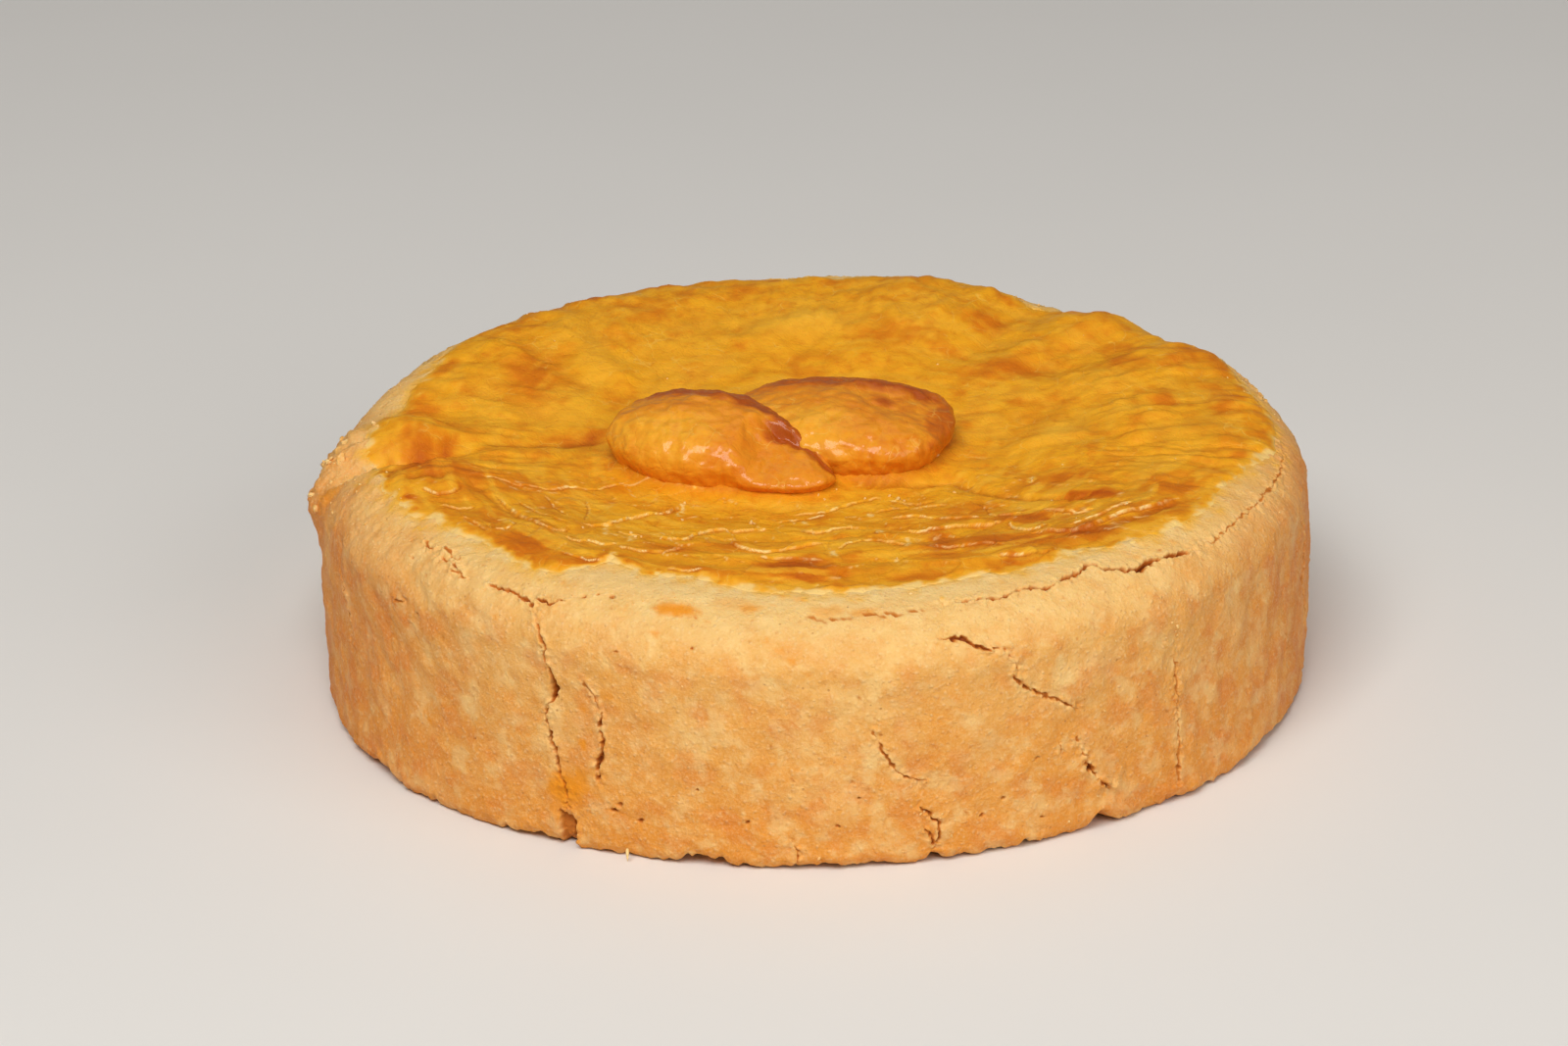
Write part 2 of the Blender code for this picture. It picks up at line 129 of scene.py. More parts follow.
# creases in the lid: points, depth, half width, how much shade is painted in it
CREASES = (
    (((1.5, -8.9), (6.5, -10.0), (8.8, -9.6), (11.1, -10.0), (12.6, -9.3), (14.0, -9.2), (15.1, -10.7), (16.5, -12.5), (18.7, -14.1), (20.6, -15.4), (22.8, -16.6), (25.4, -18.3), (29.6, -19.8)), 0.50, 0.75, 0.8),
    (((-44.6, -15.2), (-43.2, -12.7), (-41.3, -10.3), (-39.0, -7.7), (-37.8, -3.0)), 0.45, 0.9, 0.9),
    (((-40.6, -13.2), (-38.4, -12.9), (-36.3, -13.3)), 0.35, 0.8, 0.8),
    (((-34.0, -0.8), (-26.9, 1.1), (-20.9, 3.2)), 0.30, 0.9, 0.8),
    (((22.0, -28.6), (26.0, -28.9), (29.4, -26.6), (32.6, -24.6), (36.4, -21.0)), 0.26, 0.9, 0.9),
    (((-35.2, -12.6), (-32.4, -16.0), (-30.2, -19.8), (-27.6, -23.0), (-23.6, -25.6)), 0.24, 0.7, 0.7),
    (((16.0, -14.7), (16.5, -17.0), (17.2, -19.8)), 0.16, 0.16, 0.9),
    (((-5.2, -35.2), (-2.0, -35.4), (1.6, -35.9)), 0.16, 0.9, 0.7),
    (((33.0, 28.0), (27.5, 22.5), (22.0, 17.0)), 0.30, 1.2, 0.25),
    (((38.5, 17.0), (33.0, 13.6), (27.0, 12.0)), 0.28, 1.1, 0.25),
    (((41.5, 6.0), (36.0, 4.8), (31.0, 5.6)), 0.22, 1.0, 0.25),
    (((24.5, 35.0), (20.0, 30.0), (17.5, 24.0)), 0.30, 1.2, 0.3),
    (((-31.0, 24.5), (-26.0, 19.0), (-23.0, 12.5)), 0.35, 1.3, 0.3),
    (((-37.0, 14.0), (-31.0, 11.0), (-26.5, 6.4)), 0.30, 1.3, 0.35),
)
# ridges: points, height, half width
RIDGES = (
    (((-28.4, 30.0), (-27.2, 28.1), (-23.5, 23.0), (-20.3, 18.4), (-18.3, 15.4)), 0.60, 1.7),
    (((-9.6, 27.2), (-2.7, 30.7), (4.6, 32.8)), 0.55, 2.2),
    (((30.4, 4.6), (33.6, 6.4), (37.4, 9.6)), 0.35, 1.1),
    (((19.0, -1.4), (24.6, -0.4), (29.4, -0.8)), 0.35, 1.6),
    (((30.5, -3.5), (35.5, -2.5), (40.0, -3.4)), 0.30, 1.2),
    (((25.5, 8.4), (31.0, 11.2), (36.5, 14.2)), 0.30, 1.2),
    (((-34.6, 26.0), (-30.6, 20.6), (-27.4, 14.5)), 0.35, 1.6),
    (((6.5, 40.0), (9.0, 33.0), (10.0, 27.0)), 0.35, 1.8),
)
# hairline splits with pale crumb showing
SPLITS = (
    ((-20.3, -21.8), (-20.5, -24.6), (-20.2, -27.4)), ((-13.0, -12.9), (-13.2, -15.4), (-13.4, -19.6)), ((-11.4, -8.8), (-11.8, -11.4)),
    ((-17.6, -25.4), (-17.9, -27.0), (-17.9, -29.4)), ((-14.9, -24.3), (-15.0, -26.4)), ((-19.2, -31.2), (-19.6, -33.0), (-19.2, -34.6), (-19.0, -36.6)),
    ((1.5, -30.2), (1.6, -33.6)), ((5.4, -17.2), (5.7, -19.4)), ((5.9, -22.4), (6.3, -24.6), (6.2, -26.4)), ((8.8, -26.4), (8.9, -29.0), (8.4, -31.4)),
    ((-1.2, -19.0), (-0.9, -21.4)), ((7.3, -33.0), (7.6, -35.8)), ((21.6, -9.8), (21.7, -11.4)), ((-15.2, -36.0), (-15.1, -37.4)),
)
# brown patches on the lid: centre, half widths, strength; baked browning, partly painted shade in the crumples
BROWNED_AND_SHADED = (
    (-29.0, 16.4, 3.2, 7.2, 0.55), (-23.7, 38.8, 3.0, 2.6, 0.60), (-18.0, 34.7, 3.5, 3.6, 0.45), (-40.9, 9.2, 2.4, 4.1, 0.50),
    (-43.0, -2.1, 1.4, 2.6, 0.35), (-37.5, -2.0, 1.4, 3.1, 0.80), (-39.8, -18.5, 0.9, 1.3, 1.00), (-42.9, -12.9, 0.7, 2.1, 0.90),
    (-31.7, -22.0, 2.2, 2.3, 0.50), (-21.4, -34.6, 2.0, 1.0, 0.70), (-1.6, -37.2, 4.4, 1.8, 0.80),
    (-24.0, 3.0, 3.0, 1.3, 0.55), (-21.8, 3.5, 1.2, 1.5, 0.90), (7.2, 28.3, 2.8, 3.6, 0.45), (19.0, 30.9, 2.6, 2.3, 0.55),
    (20.9, 18.5, 5.8, 2.8, 0.60), (32.4, 17.2, 1.4, 3.1, 0.50), (36.4, 6.0, 1.2, 2.3, 0.55), (39.1, 18.4, 2.0, 4.4, 0.60),
    (42.3, 4.7, 1.8, 5.1, 0.60), (25.3, -12.0, 2.6, 2.1, 0.60), (25.9, -17.6, 2.4, 1.0, 0.80), (21.3, -22.1, 5.0, 1.5, 0.75),
    (12.2, -29.5, 1.6, 5.0, 0.75), (18.3, -29.9, 4.6, 2.6, 0.75), (-2.2, -35.2, 3.4, 1.3, 0.90), (25.2, -28.8, 3.6, 1.6, 0.95), (19.4, -35.0, 2.4, 0.9, 0.85),
    (27.5, -18.1, 2.2, 1.3, 1.00), (35.5, -18.0, 3.2, 2.6, 0.60), (-28.0, -29.6, 3.4, 4.2, 0.70), (-8.5, -28.6, 2.6, 1.8, 0.45), (15.5, -18.0, 3.4, 3.0, 0.45), (22.5, -30.0, 3.0, 2.0, 0.60),
    (-26.8, -33.6, 2.2, 1.8, 0.55), (-14.0, -30.2, 3.6, 1.6, 0.50), (-39.2, -6.0, 2.6, 6.0, 0.85), (-36.6, -11.0, 4.5, 2.4, 0.75), (-30.0, -12.5, 5.0, 3.4, 0.45), (3.0, -33.6, 2.6, 1.8, 0.40),
    (33.2, -22.7, 3.5, 2.1, 0.55), (-36.5, 12.6, 1.6, 3.1, 0.30), (-6.9, 40.8, 3.0, 2.1, 0.40), (11.2, 36.7, 3.0, 2.6, 0.35),
    (28.6, 26.9, 2.0, 2.1, 0.40), (-17.1, -35.3, 3.0, 1.5, 0.40), (-10.6, -37.3, 4.0, 1.3, 0.40), (8.8, -38.5, 3.0, 1.5, 0.50),
    (38.7, -13.7, 2.0, 3.6, 0.40), (-34.9, -15.7, 3.0, 2.6, 0.40), (-31.0, 1.7, 3.0, 2.1, 0.25), (-33.7, 31.1, 3.0, 3.1, 0.40),
    (-38.6, 26.0, 2.0, 3.1, 0.40),
)
# lighter patches on the lid: centre, half widths, strength; lighter glaze, partly painted highlight
BRIGHT = (
    (-0.6, 32.1, 6.2, 2.6, 0.90), (25.0, 0.4, 2.2, 2.3, 1.00), (13.9, 4.8, 0.8, 1.5, 0.90), (32.0, 3.9, 2.0, 1.3, 0.70),
    (-22.8, 21.7, 1.2, 6.4, 0.60), (-33.3, 9.0, 1.8, 4.6, 0.50), (-14.2, 28.2, 4.0, 3.6, 0.40), (36.7, -2.8, 2.5, 3.1, 0.35),
    (-40.8, 16.8, 1.0, 1.5, 0.60), (-27.2, 8.2, 4.0, 2.6, 0.50), (27.7, 10.7, 3.0, 2.1, 0.35), (-18.6, -14.2, 6.0, 2.1, 0.35),
    (4.8, -10.8, 6.0, 1.5, 0.30), (-6.9, -15.3, 6.0, 2.1, 0.30),
)

# cracks in the crust: (direction in degrees, distance down from the crest), depth, half width along the way
CRACKS = (
    (((-132.0, 5.0), (-128.9, 5.0), (-126.6, 5.2), (-124.8, 5.6), (-123.8, 6.2)), 0.9, (0.10, 0.16, 0.20, 0.24, 0.14)),
    (((-123.8, 6.2), (-122.5, 7.9), (-121.6, 9.0), (-121.1, 9.7), (-121.5, 11.1), (-120.8, 11.8)), 0.45, (0.10, 0.10, 0.12, 0.14, 0.12, 0.12)),
    (((-120.9, 12.0), (-120.2, 13.0), (-120.0, 14.0), (-120.3, 14.9), (-120.9, 15.8)), 1.5, (0.16, 0.42, 0.46, 0.34, 0.18)),
    (((-120.9, 15.8), (-121.2, 17.4), (-120.6, 18.8), (-120.1, 20.3), (-119.7, 21.5), (-119.4, 22.9), (-118.8, 24.1), (-118.5, 25.8)), 1.1, (0.16, 0.20, 0.24, 0.22, 0.18, 0.16, 0.16, 0.24)),
    (((-124.3, 5.3), (-122.9, 5.0), (-122.0, 5.3), (-121.0, 4.6)), 0.8, (0.10, 0.30, 0.22, 0.10)),
    (((-116.6, 12.4), (-116.1, 13.0), (-114.9, 14.3), (-114.2, 15.1)), 0.25, (0.12, 0.14, 0.12, 0.10)),
    (((-114.2, 15.4), (-114.3, 17.2), (-114.0, 18.3), (-114.6, 20.0), (-114.9, 21.3), (-114.7, 22.7)), 0.75, (0.12, 0.20, 0.16, 0.24, 0.28, 0.14)),
    (((-75.2, 2.5), (-73.0, 2.9), (-70.8, 2.8), (-68.8, 3.2), (-66.8, 3.1), (-64.2, 2.6), (-62.7, 3.2), (-60.6, 3.2), (-58.1, 2.7), (-56.3, 2.5), (-54.4, 2.0), (-53.4, 2.9), (-51.4, 3.9), (-48.8, 4.5), (-47.0, 4.2), (-44.4, 4.5), (-41.7, 4.9), (-40.2, 5.0)), 1.1,
     (0.14, 0.20, 0.22, 0.26, 0.28, 0.28, 0.30, 0.28, 0.26, 0.26, 0.30, 0.28, 0.30, 0.42, 0.40, 0.34, 0.28, 0.16)),
    (((-40.2, 5.0), (-37.0, 5.2), (-34.5, 5.1), (-31.0, 4.9), (-28.0, 4.8), (-24.0, 5.0), (-20.5, 4.9), (-12.0, 5.4), (-4.0, 5.0)), 0.30, (0.12, 0.14, 0.12, 0.12, 0.14, 0.14, 0.12, 0.12, 0.10)),
    (((-76.6, 6.6), (-75.4, 7.0), (-74.2, 6.6), (-72.5, 8.2), (-70.7, 8.9)), 0.60, (0.20, 0.30, 0.26, 0.24, 0.12)),
    (((-70.9, 8.4), (-69.6, 9.0), (-68.6, 10.6), (-68.0, 11.6)), 0.45, (0.14, 0.26, 0.16, 0.10)),
    (((-68.7, 11.8), (-68.3, 12.8), (-67.0, 13.8), (-65.4, 14.3), (-63.7, 15.3), (-62.0, 16.2), (-60.6, 17.0)), 0.55, (0.16, 0.24, 0.20, 0.16, 0.18, 0.14, 0.10)),
    (((-61.2, 19.8), (-60.4, 21.2), (-59.6, 22.2)), 0.40, (0.14, 0.18, 0.12)),
    (((-60.2, 22.6), (-59.2, 23.4), (-58.6, 24.6), (-57.6, 25.4), (-56.6, 26.3)), 0.75, (0.14, 0.28, 0.24, 0.22, 0.14)),
    (((-84.6, 15.6), (-84.0, 16.8), (-83.1, 18.3), (-82.4, 19.6), (-81.2, 20.4), (-80.0, 21.2), (-78.8, 21.4)), 0.45, (0.14, 0.10, 0.16, 0.18, 0.14, 0.10, 0.08)),
    (((-46.9, 14.2), (-46.8, 17.0), (-46.9, 21.2), (-46.6, 25.4), (-46.8, 28.4)), 0.40, (0.10, 0.12, 0.12, 0.20, 0.30)),
    (((-79.6, 24.0), (-78.6, 24.8), (-78.0, 25.6), (-77.2, 26.2), (-77.7, 28.0)), 0.55, (0.14, 0.30, 0.26, 0.20, 0.12)),
    (((-79.0, 26.4), (-78.0, 27.2), (-77.8, 29.0)), 0.55, (0.12, 0.18, 0.30)),
    (((-63.4, 20.0), (-62.9, 21.2)), 0.30, (0.12, 0.10)),
    (((-93.4, 27.0), (-92.6, 28.4), (-92.9, 29.8)), 0.35, (0.10, 0.12, 0.16)),
    (((-141.6, 4.0), (-140.4, 4.5), (-138.6, 4.1), (-137.6, 4.6), (-136.6, 4.3)), 0.55, (0.12, 0.18, 0.14, 0.22, 0.10)),
    (((-145.4, 3.3), (-144.2, 3.9), (-143.2, 3.8)), 0.45, (0.12, 0.16, 0.10)),
    (((-142.0, 3.1), (-140.8, 3.3), (-139.3, 3.8), (-138.1, 3.4)), 0.40, (0.10, 0.16, 0.14, 0.10)),
    (((-144.9, 10.9), (-143.2, 10.4)), 0.35, (0.12, 0.10)),
    (((-137.6, 5.2), (-136.5, 4.9), (-135.2, 5.2)), 0.40, (0.12, 0.16, 0.10)),
    (((-93.0, 3.2), (-88.0, 3.6), (-84.0, 3.2), (-79.0, 3.5), (-75.2, 2.6)), 0.20, (0.16, 0.22, 0.18, 0.20, 0.16)),
    (((-160.0, 12.0), (-157.5, 15.0), (-156.0, 19.0)), 0.30, (0.16, 0.24, 0.14)),
    (((12.0, 5.8), (19.0, 6.4), (27.0, 5.2), (34.0, 5.9)), 0.55, (0.10, 0.20, 0.22, 0.10)),
    (((72.0, 3.4), (80.0, 4.3), (88.0, 3.6), (95.0, 4.6)), 0.70, (0.10, 0.24, 0.24, 0.12)),
    (((64.0, 12.0), (65.6, 16.0), (64.6, 20.0), (66.0, 25.0)), 0.60, (0.10, 0.22, 0.24, 0.14)),
    (((118.0, 7.0), (121.0, 10.0), (120.0, 14.0), (122.4, 18.5)), 0.50, (0.10, 0.20, 0.18, 0.10)),
    (((147.0, 20.0), (149.0, 23.0), (148.0, 27.0), (149.0, 30.0)), 0.80, (0.10, 0.22, 0.26, 0.34)),
    (((28.0, 19.0), (29.4, 22.5), (28.4, 25.6), (29.2, 29.8)), 0.60, (0.10, 0.18, 0.22, 0.30)),
    (((-14.0, 11.0), (-12.4, 15.0), (-13.2, 19.0), (-11.8, 23.0)), 0.35, (0.10, 0.16, 0.16, 0.10)),
)
# small holes in the crust: direction, distance from the crest, depth, half width
HOLES = (
    (-115.4, 3.0, 0.9, 0.32), (-118.6, 3.7, 0.5, 0.24), (-140.7, 11.0, 0.35, 0.22), (-144.9, 5.6, 0.35, 0.22), (-117.2, 3.2, 0.35, 0.18),
    (-104.0, 7.2, 0.30, 0.30), (-112.6, 8.8, 0.25, 0.26), (-98.0, 25.0, 0.35, 0.20), (-103.4, 22.0, 0.30, 0.26), (-86.0, 22.6, 0.25, 0.22),
    (-72.6, 26.0, 0.35, 0.34), (-70.0, 24.4, 0.25, 0.30), (-65.4, 27.4, 0.35, 0.30), (-66.0, 21.0, 0.28, 0.24), (-88.4, 25.4, 0.30, 0.30),
    (-110.0, 26.0, 0.40, 0.34), (-113.0, 25.2, 0.50, 0.40), (-112.2, 24.6, 0.30, 0.36), (-131.0, 21.6, 0.30, 0.16), (-147.6, 4.2, 0.30, 0.20),
)
NOTCH = (-118.5, 2.0, 4.1)                  # the open crack at the foot: direction, width, height

CRACK_WIDTH = 0.58                          # all the cracks' half widths times this
# patches where the crust is rough with crumb: direction, distance from the crest, half length, half height, strength
ROUGH = (
    (-177.0, 5.5, 8.5, 6.5, 1.0), (-184.0, 2.0, 5.0, 3.0, 0.7), (-166.0, 4.0, 5.0, 4.5, 0.50), (-154.0, 5.0, 7.0, 4.0, 0.36), (-140.0, 4.0, 7.0, 3.0, 0.26), (-55.6, 26.4, 2.6, 2.2, 0.90), (-46.6, 3.0, 3.0, 3.0, 0.20), (-47.8, 11.8, 2.0, 1.2, 0.32),
    (-84.9, 22.4, 1.6, 0.9, 0.35), (-77.7, 25.8, 2.2, 1.6, 0.40), (-67.9, 10.0, 2.4, 1.6, 0.30), (-116.4, 27.0, 1.8, 2.2, 0.30), (-122.0, 29.0, 4.0, 1.6, 0.35),
    (-62.5, 15.6, 2.6, 1.4, 0.25), (-88.0, 29.0, 3.0, 1.2, 0.30), (-39.0, 5.0, 4.0, 1.4, 0.25), (-72.0, 28.5, 4.0, 1.4, 0.25), (-44.0, 29.0, 4.0, 1.4, 0.35),
    (150.0, 4.0, 5.0, 3.0, 0.5), (96.0, 3.0, 6.0, 2.4, 0.4), (54.0, 3.0, 4.0, 2.5, 0.5), (36.0, 27.5, 4.0, 2.2, 0.35), (88.0, 28.5, 5.0, 1.6, 0.35), (134.0, 25.0, 3.0, 3.0, 0.35),
)
# soft dents of a finger or the tin: direction, distance from the crest, half length, half height, tilt, depth
DENTS = (
    (-141.0, 8.4, 4.4, 0.9, 24.0, 0.34), (-132.4, 8.2, 3.0, 0.6, 18.0, 0.30), (-148.0, 12.4, 3.0, 1.0, 38.0, 0.22), (-152.0, 17.0, 3.4, 1.1, 50.0, 0.20),
    (-99.0, 14.0, 2.6, 1.8, 0.0, 0.16), (-71.0, 19.0, 2.4, 2.0, 0.0, 0.18), (-32.0, 16.0, 1.3, 5.0, 0.0, 0.28), (-24.0, 14.0, 1.4, 6.0, 0.0, 0.24),
    (-38.5, 19.0, 1.0, 3.5, 0.0, 0.18), (-16.0, 18.0, 1.4, 5.0, 0.0, 0.24), (64.0, 14.0, 3.0, 4.0, 10.0, 0.35), (20.0, 16.0, 2.4, 4.0, -14.0, 0.28),
    (106.0, 18.0, 3.0, 3.0, 0.0, 0.30), (154.0, 12.0, 2.5, 4.0, 20.0, 0.28),
)

# stains of wash on the crust: direction, distance from the crest, half widths, strength
STAINS = (
    (-118.9, 24.0, 2.1, 1.9, 1.0), (-116.9, 22.8, 0.9, 1.5, 0.9), (-106.9, 3.3, 2.4, 0.75, 1.0), (-119.9, 26.4, 1.0, 1.0, 0.5), (-138.4, 21.6, 0.4, 0.4, 1.0), (-116.6, 19.1, 0.5, 0.6, 0.9), (-116.4, 15.4, 0.45, 0.5, 0.7), (-113.6, 13.4, 0.8, 0.7, 0.6), (-108.6, 6.2, 0.6, 0.4, 0.7), (-98.2, 2.2, 1.3, 0.6, 0.7), (-93.0, 8.0, 0.5, 0.35, 0.7), (-84.8, 2.7, 1.4, 0.5, 0.6),
    (-115.4, 17.7, 0.3, 0.3, 0.5), (-94.4, 6.8, 0.5, 0.35, 0.45), (-95.8, 6.1, 0.4, 0.35, 0.4), (-51.7, 12.4, 0.3, 0.4, 0.6), (-128.4, 8.1, 0.4, 0.3, 0.5),
    (-171.0, 7.5, 1.6, 2.4, 0.6), (-165.0, 4.6, 0.7, 0.6, 0.6), (-113.5, 11.8, 1.0, 0.8, 0.25), (-130.0, 13.0, 0.5, 0.5, 0.3), (-89.0, 2.4, 1.8, 0.8, 0.45),
    (-100.5, 1.6, 2.4, 0.8, 0.30), (60.0, 4.0, 1.4, 1.0, 0.5), (104.0, 7.0, 1.0, 1.0, 0.4), (22.0, 9.0, 0.6, 0.6, 0.5), (140.0, 12.0, 0.5, 0.6, 0.5),
)


def turn_between(a, b):
    return (a - b + 180.0) % 360.0 - 180.0


def waves(angle, table):
    total = np.zeros_like(angle)
    for at, half, high in table:
        total += high * np.exp(-((turn_between(angle, at) / half) ** 2))
    return total


def smooth(t):
    t = np.clip(t, 0.0, 1.0)
    return t * t * (3.0 - 2.0 * t)


def fold_at(x, y):
    depth = np.zeros_like(x)
    line = np.array(FOLD_LINE)
    for i in range(len(line) - 1):
        a, b = line[i], line[i + 1]
        ab = b - a
        t = np.clip(((x - a[0]) * ab[0] + (y - a[1]) * ab[1]) / (ab @ ab), 0.0, 1.0)
        away = np.hypot(x - a[0] - ab[0] * t, y - a[1] - ab[1] * t)
        deep = FOLD_DEPTH[i] * (1 - t) + FOLD_DEPTH[i + 1] * t
        wide = FOLD_WIDTH[i] * (1 - t) + FOLD_WIDTH[i + 1] * t
        depth = np.maximum(depth, deep * np.exp(-((away / wide) ** 2)))
    return depth


def lid_height(x, y):
    r = np.hypot(x, y)
    angle = np.degrees(np.arctan2(y, x))
    rim = smooth((r - 20.0) / 20.0)
    z = PIE_HEIGHT + waves(angle, RIM_WAVES) * rim
    z = z - LID_DISH * smooth((DISH_START - r) / DISH_RUN)
    z = z - fold_at(x, y)
    for mx, my, half, high in LID_MOUNDS:
        z = z + high * np.exp(-(((x - mx) ** 2 + (y - my) ** 2) / half**2))
    for radius, half, high, mid, arc in LID_RIPPLES:
        sway = 1.2 * np.sin(np.radians(angle * 5.0 + radius * 9.0))
        z = z + high * np.exp(-(((r - radius - sway) / half) ** 2)) * np.exp(-((turn_between(angle, mid) / arc) ** 4))
    return z


def body_point(theta, q):
    """The smooth crust at a direction (degrees) and a distance q out from the middle of the lid, over the
    shoulder and down the wall: the points, and the direction in which relief stands up."""
    c, s = np.cos(np.radians(theta)), np.sin(np.radians(theta))
    a = np.clip((q - CREST_RADIUS) / ARC, 0.0, 1.0) * (math.pi / 2)
    crest = lid_height(CREST_RADIUS * c, CREST_RADIUS * s)
    inner = np.minimum(q, CREST_RADIUS)
    on_lid = q < CREST_RADIUS
    on_wall = q > CREST_RADIUS + ARC
    z = np.where(on_lid, lid_height(c * inner, s * inner), WALL_TOP + np.cos(a) * (crest - WALL_TOP))
    z = np.where(on_wall, WALL_TOP - (q - CREST_RADIUS - ARC), z)
    wall = PIE_RADIUS + waves(theta, WALL_WAVES) + 0.25 * np.sin(np.pi * np.clip(z / WALL_TOP, 0.0, 1.0))
    at, half, out = RIM_CRUMB
    crumb = out * np.exp(-((turn_between(theta, at) / half) ** 2))
    r = np.where(on_lid, inner, CREST_RADIUS + (wall - CREST_RADIUS) * np.sin(a) + crumb * smooth(np.sin(a)))
    r = np.where(on_wall, wall + crumb * np.exp(-(((WALL_TOP - z) / 3.0) ** 2)), r)
    up = np.stack([np.sin(a) * c, np.sin(a) * s, np.cos(a)], -1)
    return np.stack([r * c, r * s, z], -1), up


# ---------------------------------------------------------------- noise, seeded and the same on each run
_rng = np.random.RandomState(20417)
_GRAD = _rng.normal(size=(256, 3))
_GRAD /= np.linalg.norm(_GRAD, axis=1, keepdims=True)
_RAND = _rng.rand(4096, 3)


def _hash(ix, iy, iz, seed):
    h = (ix * 73856093) ^ (iy * 19349663) ^ (iz * 83492791) ^ (seed * 2654435761 & 0x7FFFFFFF)
    h = (h ^ (h >> 13)) * 1274126177
    return (h ^ (h >> 16)) & 0x7FFFFFFF


def noise(p, seed=0):
    """Gradient noise at points p (n, 3), about -1 to 1."""
    base = np.floor(p)
    f = p - base
    i = base.astype(np.int64)
    u = f * f * f * (f * (f * 6.0 - 15.0) + 10.0)
    total = np.zeros(len(p))
    for dx in (0, 1):
        wx = u[:, 0] if dx else 1.0 - u[:, 0]
        for dy in (0, 1):
            wy = u[:, 1] if dy else 1.0 - u[:, 1]
            for dz in (0, 1):
                wz = u[:, 2] if dz else 1.0 - u[:, 2]
                g = _GRAD[_hash(i[:, 0] + dx, i[:, 1] + dy, i[:, 2] + dz, seed) & 255]
                dot = g[:, 0] * (f[:, 0] - dx) + g[:, 1] * (f[:, 1] - dy) + g[:, 2] * (f[:, 2] - dz)
                total += wx * wy * wz * dot
    return total * 1.5


def fractal(p, size, octaves, seed=0, fade=0.5):
    total, high = np.zeros(len(p)), 1.0
    for k in range(octaves):
        total += high * noise(p / size * (2.0**k) + 17.3 * k, seed + k)
        high *= fade
    return total


def cells(p, seed=0):
    """Distance to the nearest scattered point, in cells, and that point's own three random numbers."""
    i = np.floor(p).astype(np.int64)
    best = np.full(len(p), 9.0)
    who = np.zeros(len(p), np.int64)
    for dx in (-1, 0, 1):
        for dy in (-1, 0, 1):
            for dz in (-1, 0, 1):
                h = _hash(i[:, 0] + dx, i[:, 1] + dy, i[:, 2] + dz, seed) & 4095
                c = np.stack([i[:, 0] + dx, i[:, 1] + dy, i[:, 2] + dz], -1) + _RAND[h]
                d = np.linalg.norm(c - p, axis=1)
                m = d < best
                best[m] = d[m]
                who[m] = h[m]
    return best, _RAND[(who * 7 + 11) & 4095]


def two_cells(p, seed=0):
    """Distances to the nearest two scattered points, in cells, and a random height for each."""
    i = np.floor(p).astype(np.int64)
    d1, d2 = np.full(len(p), 9.0), np.full(len(p), 9.0)
    h1, h2 = np.zeros(len(p)), np.zeros(len(p))
    for dx in (-1, 0, 1):
        for dy in (-1, 0, 1):
            k = _hash(i[:, 0] + dx, i[:, 1] + dy, 0 * i[:, 0], seed) & 4095
            c = np.stack([i[:, 0] + dx, i[:, 1] + dy], -1) + _RAND[k][:, :2]
            away = np.hypot(c[:, 0] - p[:, 0], c[:, 1] - p[:, 1])
            own = _RAND[k][:, 2]
            first = away < d1
            second = ~first & (away < d2)
            d2 = np.where(first, d1, np.where(second, away, d2))
            h2 = np.where(first, h1, np.where(second, own, h2))
            d1 = np.where(first, away, d1)
            h1 = np.where(first, own, h1)
    return d1, d2, h1, h2


def rounded(line, times=2):
    """A line with its corners cut, so that it bends softly."""
    pts = np.array(line, float)
    for _ in range(times):
        if len(pts) < 3:
            break
        cut = [pts[0]]
        for a, b in zip(pts[:-1], pts[1:]):
            cut += [a * 0.75 + b * 0.25, a * 0.25 + b * 0.75]
        cut.append(pts[-1])
        pts = np.array(cut)
    return pts


def by_line(x, y, line, reach):
    """For the points within reach of a line: which they are, their distance, the side (+ left of its way) and the
    share of the way along."""
    pts = np.asarray(line, float)
    near = np.flatnonzero(
        (x > pts[:, 0].min() - reach) & (x < pts[:, 0].max() + reach) & (y > pts[:, 1].min() - reach) & (y < pts[:, 1].max() + reach)
    )
    px, py = x[near], y[near]
    best, side, way = np.full(len(near), 1e9), np.ones(len(near)), np.zeros(len(near))
    steps = np.hypot(*(pts[1:] - pts[:-1]).T)
    start, total = 0.0, max(steps.sum(), 1e-9)
    for i in range(len(pts) - 1):
        ax, ay = pts[i]
        bx, by = pts[i + 1] - pts[i]
        t = np.clip(((px - ax) * bx + (py - ay) * by) / max(bx * bx + by * by, 1e-12), 0.0, 1.0)
        dx, dy = px - ax - bx * t, py - ay - by * t
        d = np.hypot(dx, dy)
        m = d < best
        best[m] = d[m]
        side[m] = np.where(bx * dy - by * dx >= 0, 1.0, -1.0)[m]
        way[m] = ((start + t * steps[i]) / total)[m]
        start += steps[i]
    keep = best < reach
    return near[keep], best[keep], side[keep], way[keep]


def ends(way, share=0.12):
    """Fades to nothing at both ends of a line."""
    return smooth(way / share) * smooth((1.0 - way) / share)


def wash_edge(theta):
    """How far out the wash reaches."""
    at = np.array([a for a, _ in WASH_EDGE])
    out = np.array([q for _, q in WASH_EDGE])
    return np.interp(theta, np.concatenate([at - 360, at, at + 360]), np.tile(out, 3))


# ---------------------------------------------------------------- relief
def shared_relief(p):
    """Relief that the crust and the washed lid share, in mm."""
    return 0.14 * fractal(p, 6.0, 2, 1) + 0.05 * fractal(p, 1.8, 2, 5)


def in_patch(theta, w, at, down, half_s, half_w, power=2.0):
    """1 in the middle of a patch of the crust, fading out round it."""
    away = np.abs(np.radians(turn_between(theta, at)) * PIE_RADIUS / half_s) ** power + np.abs((w - down) / half_w) ** power
    return np.exp(-away)


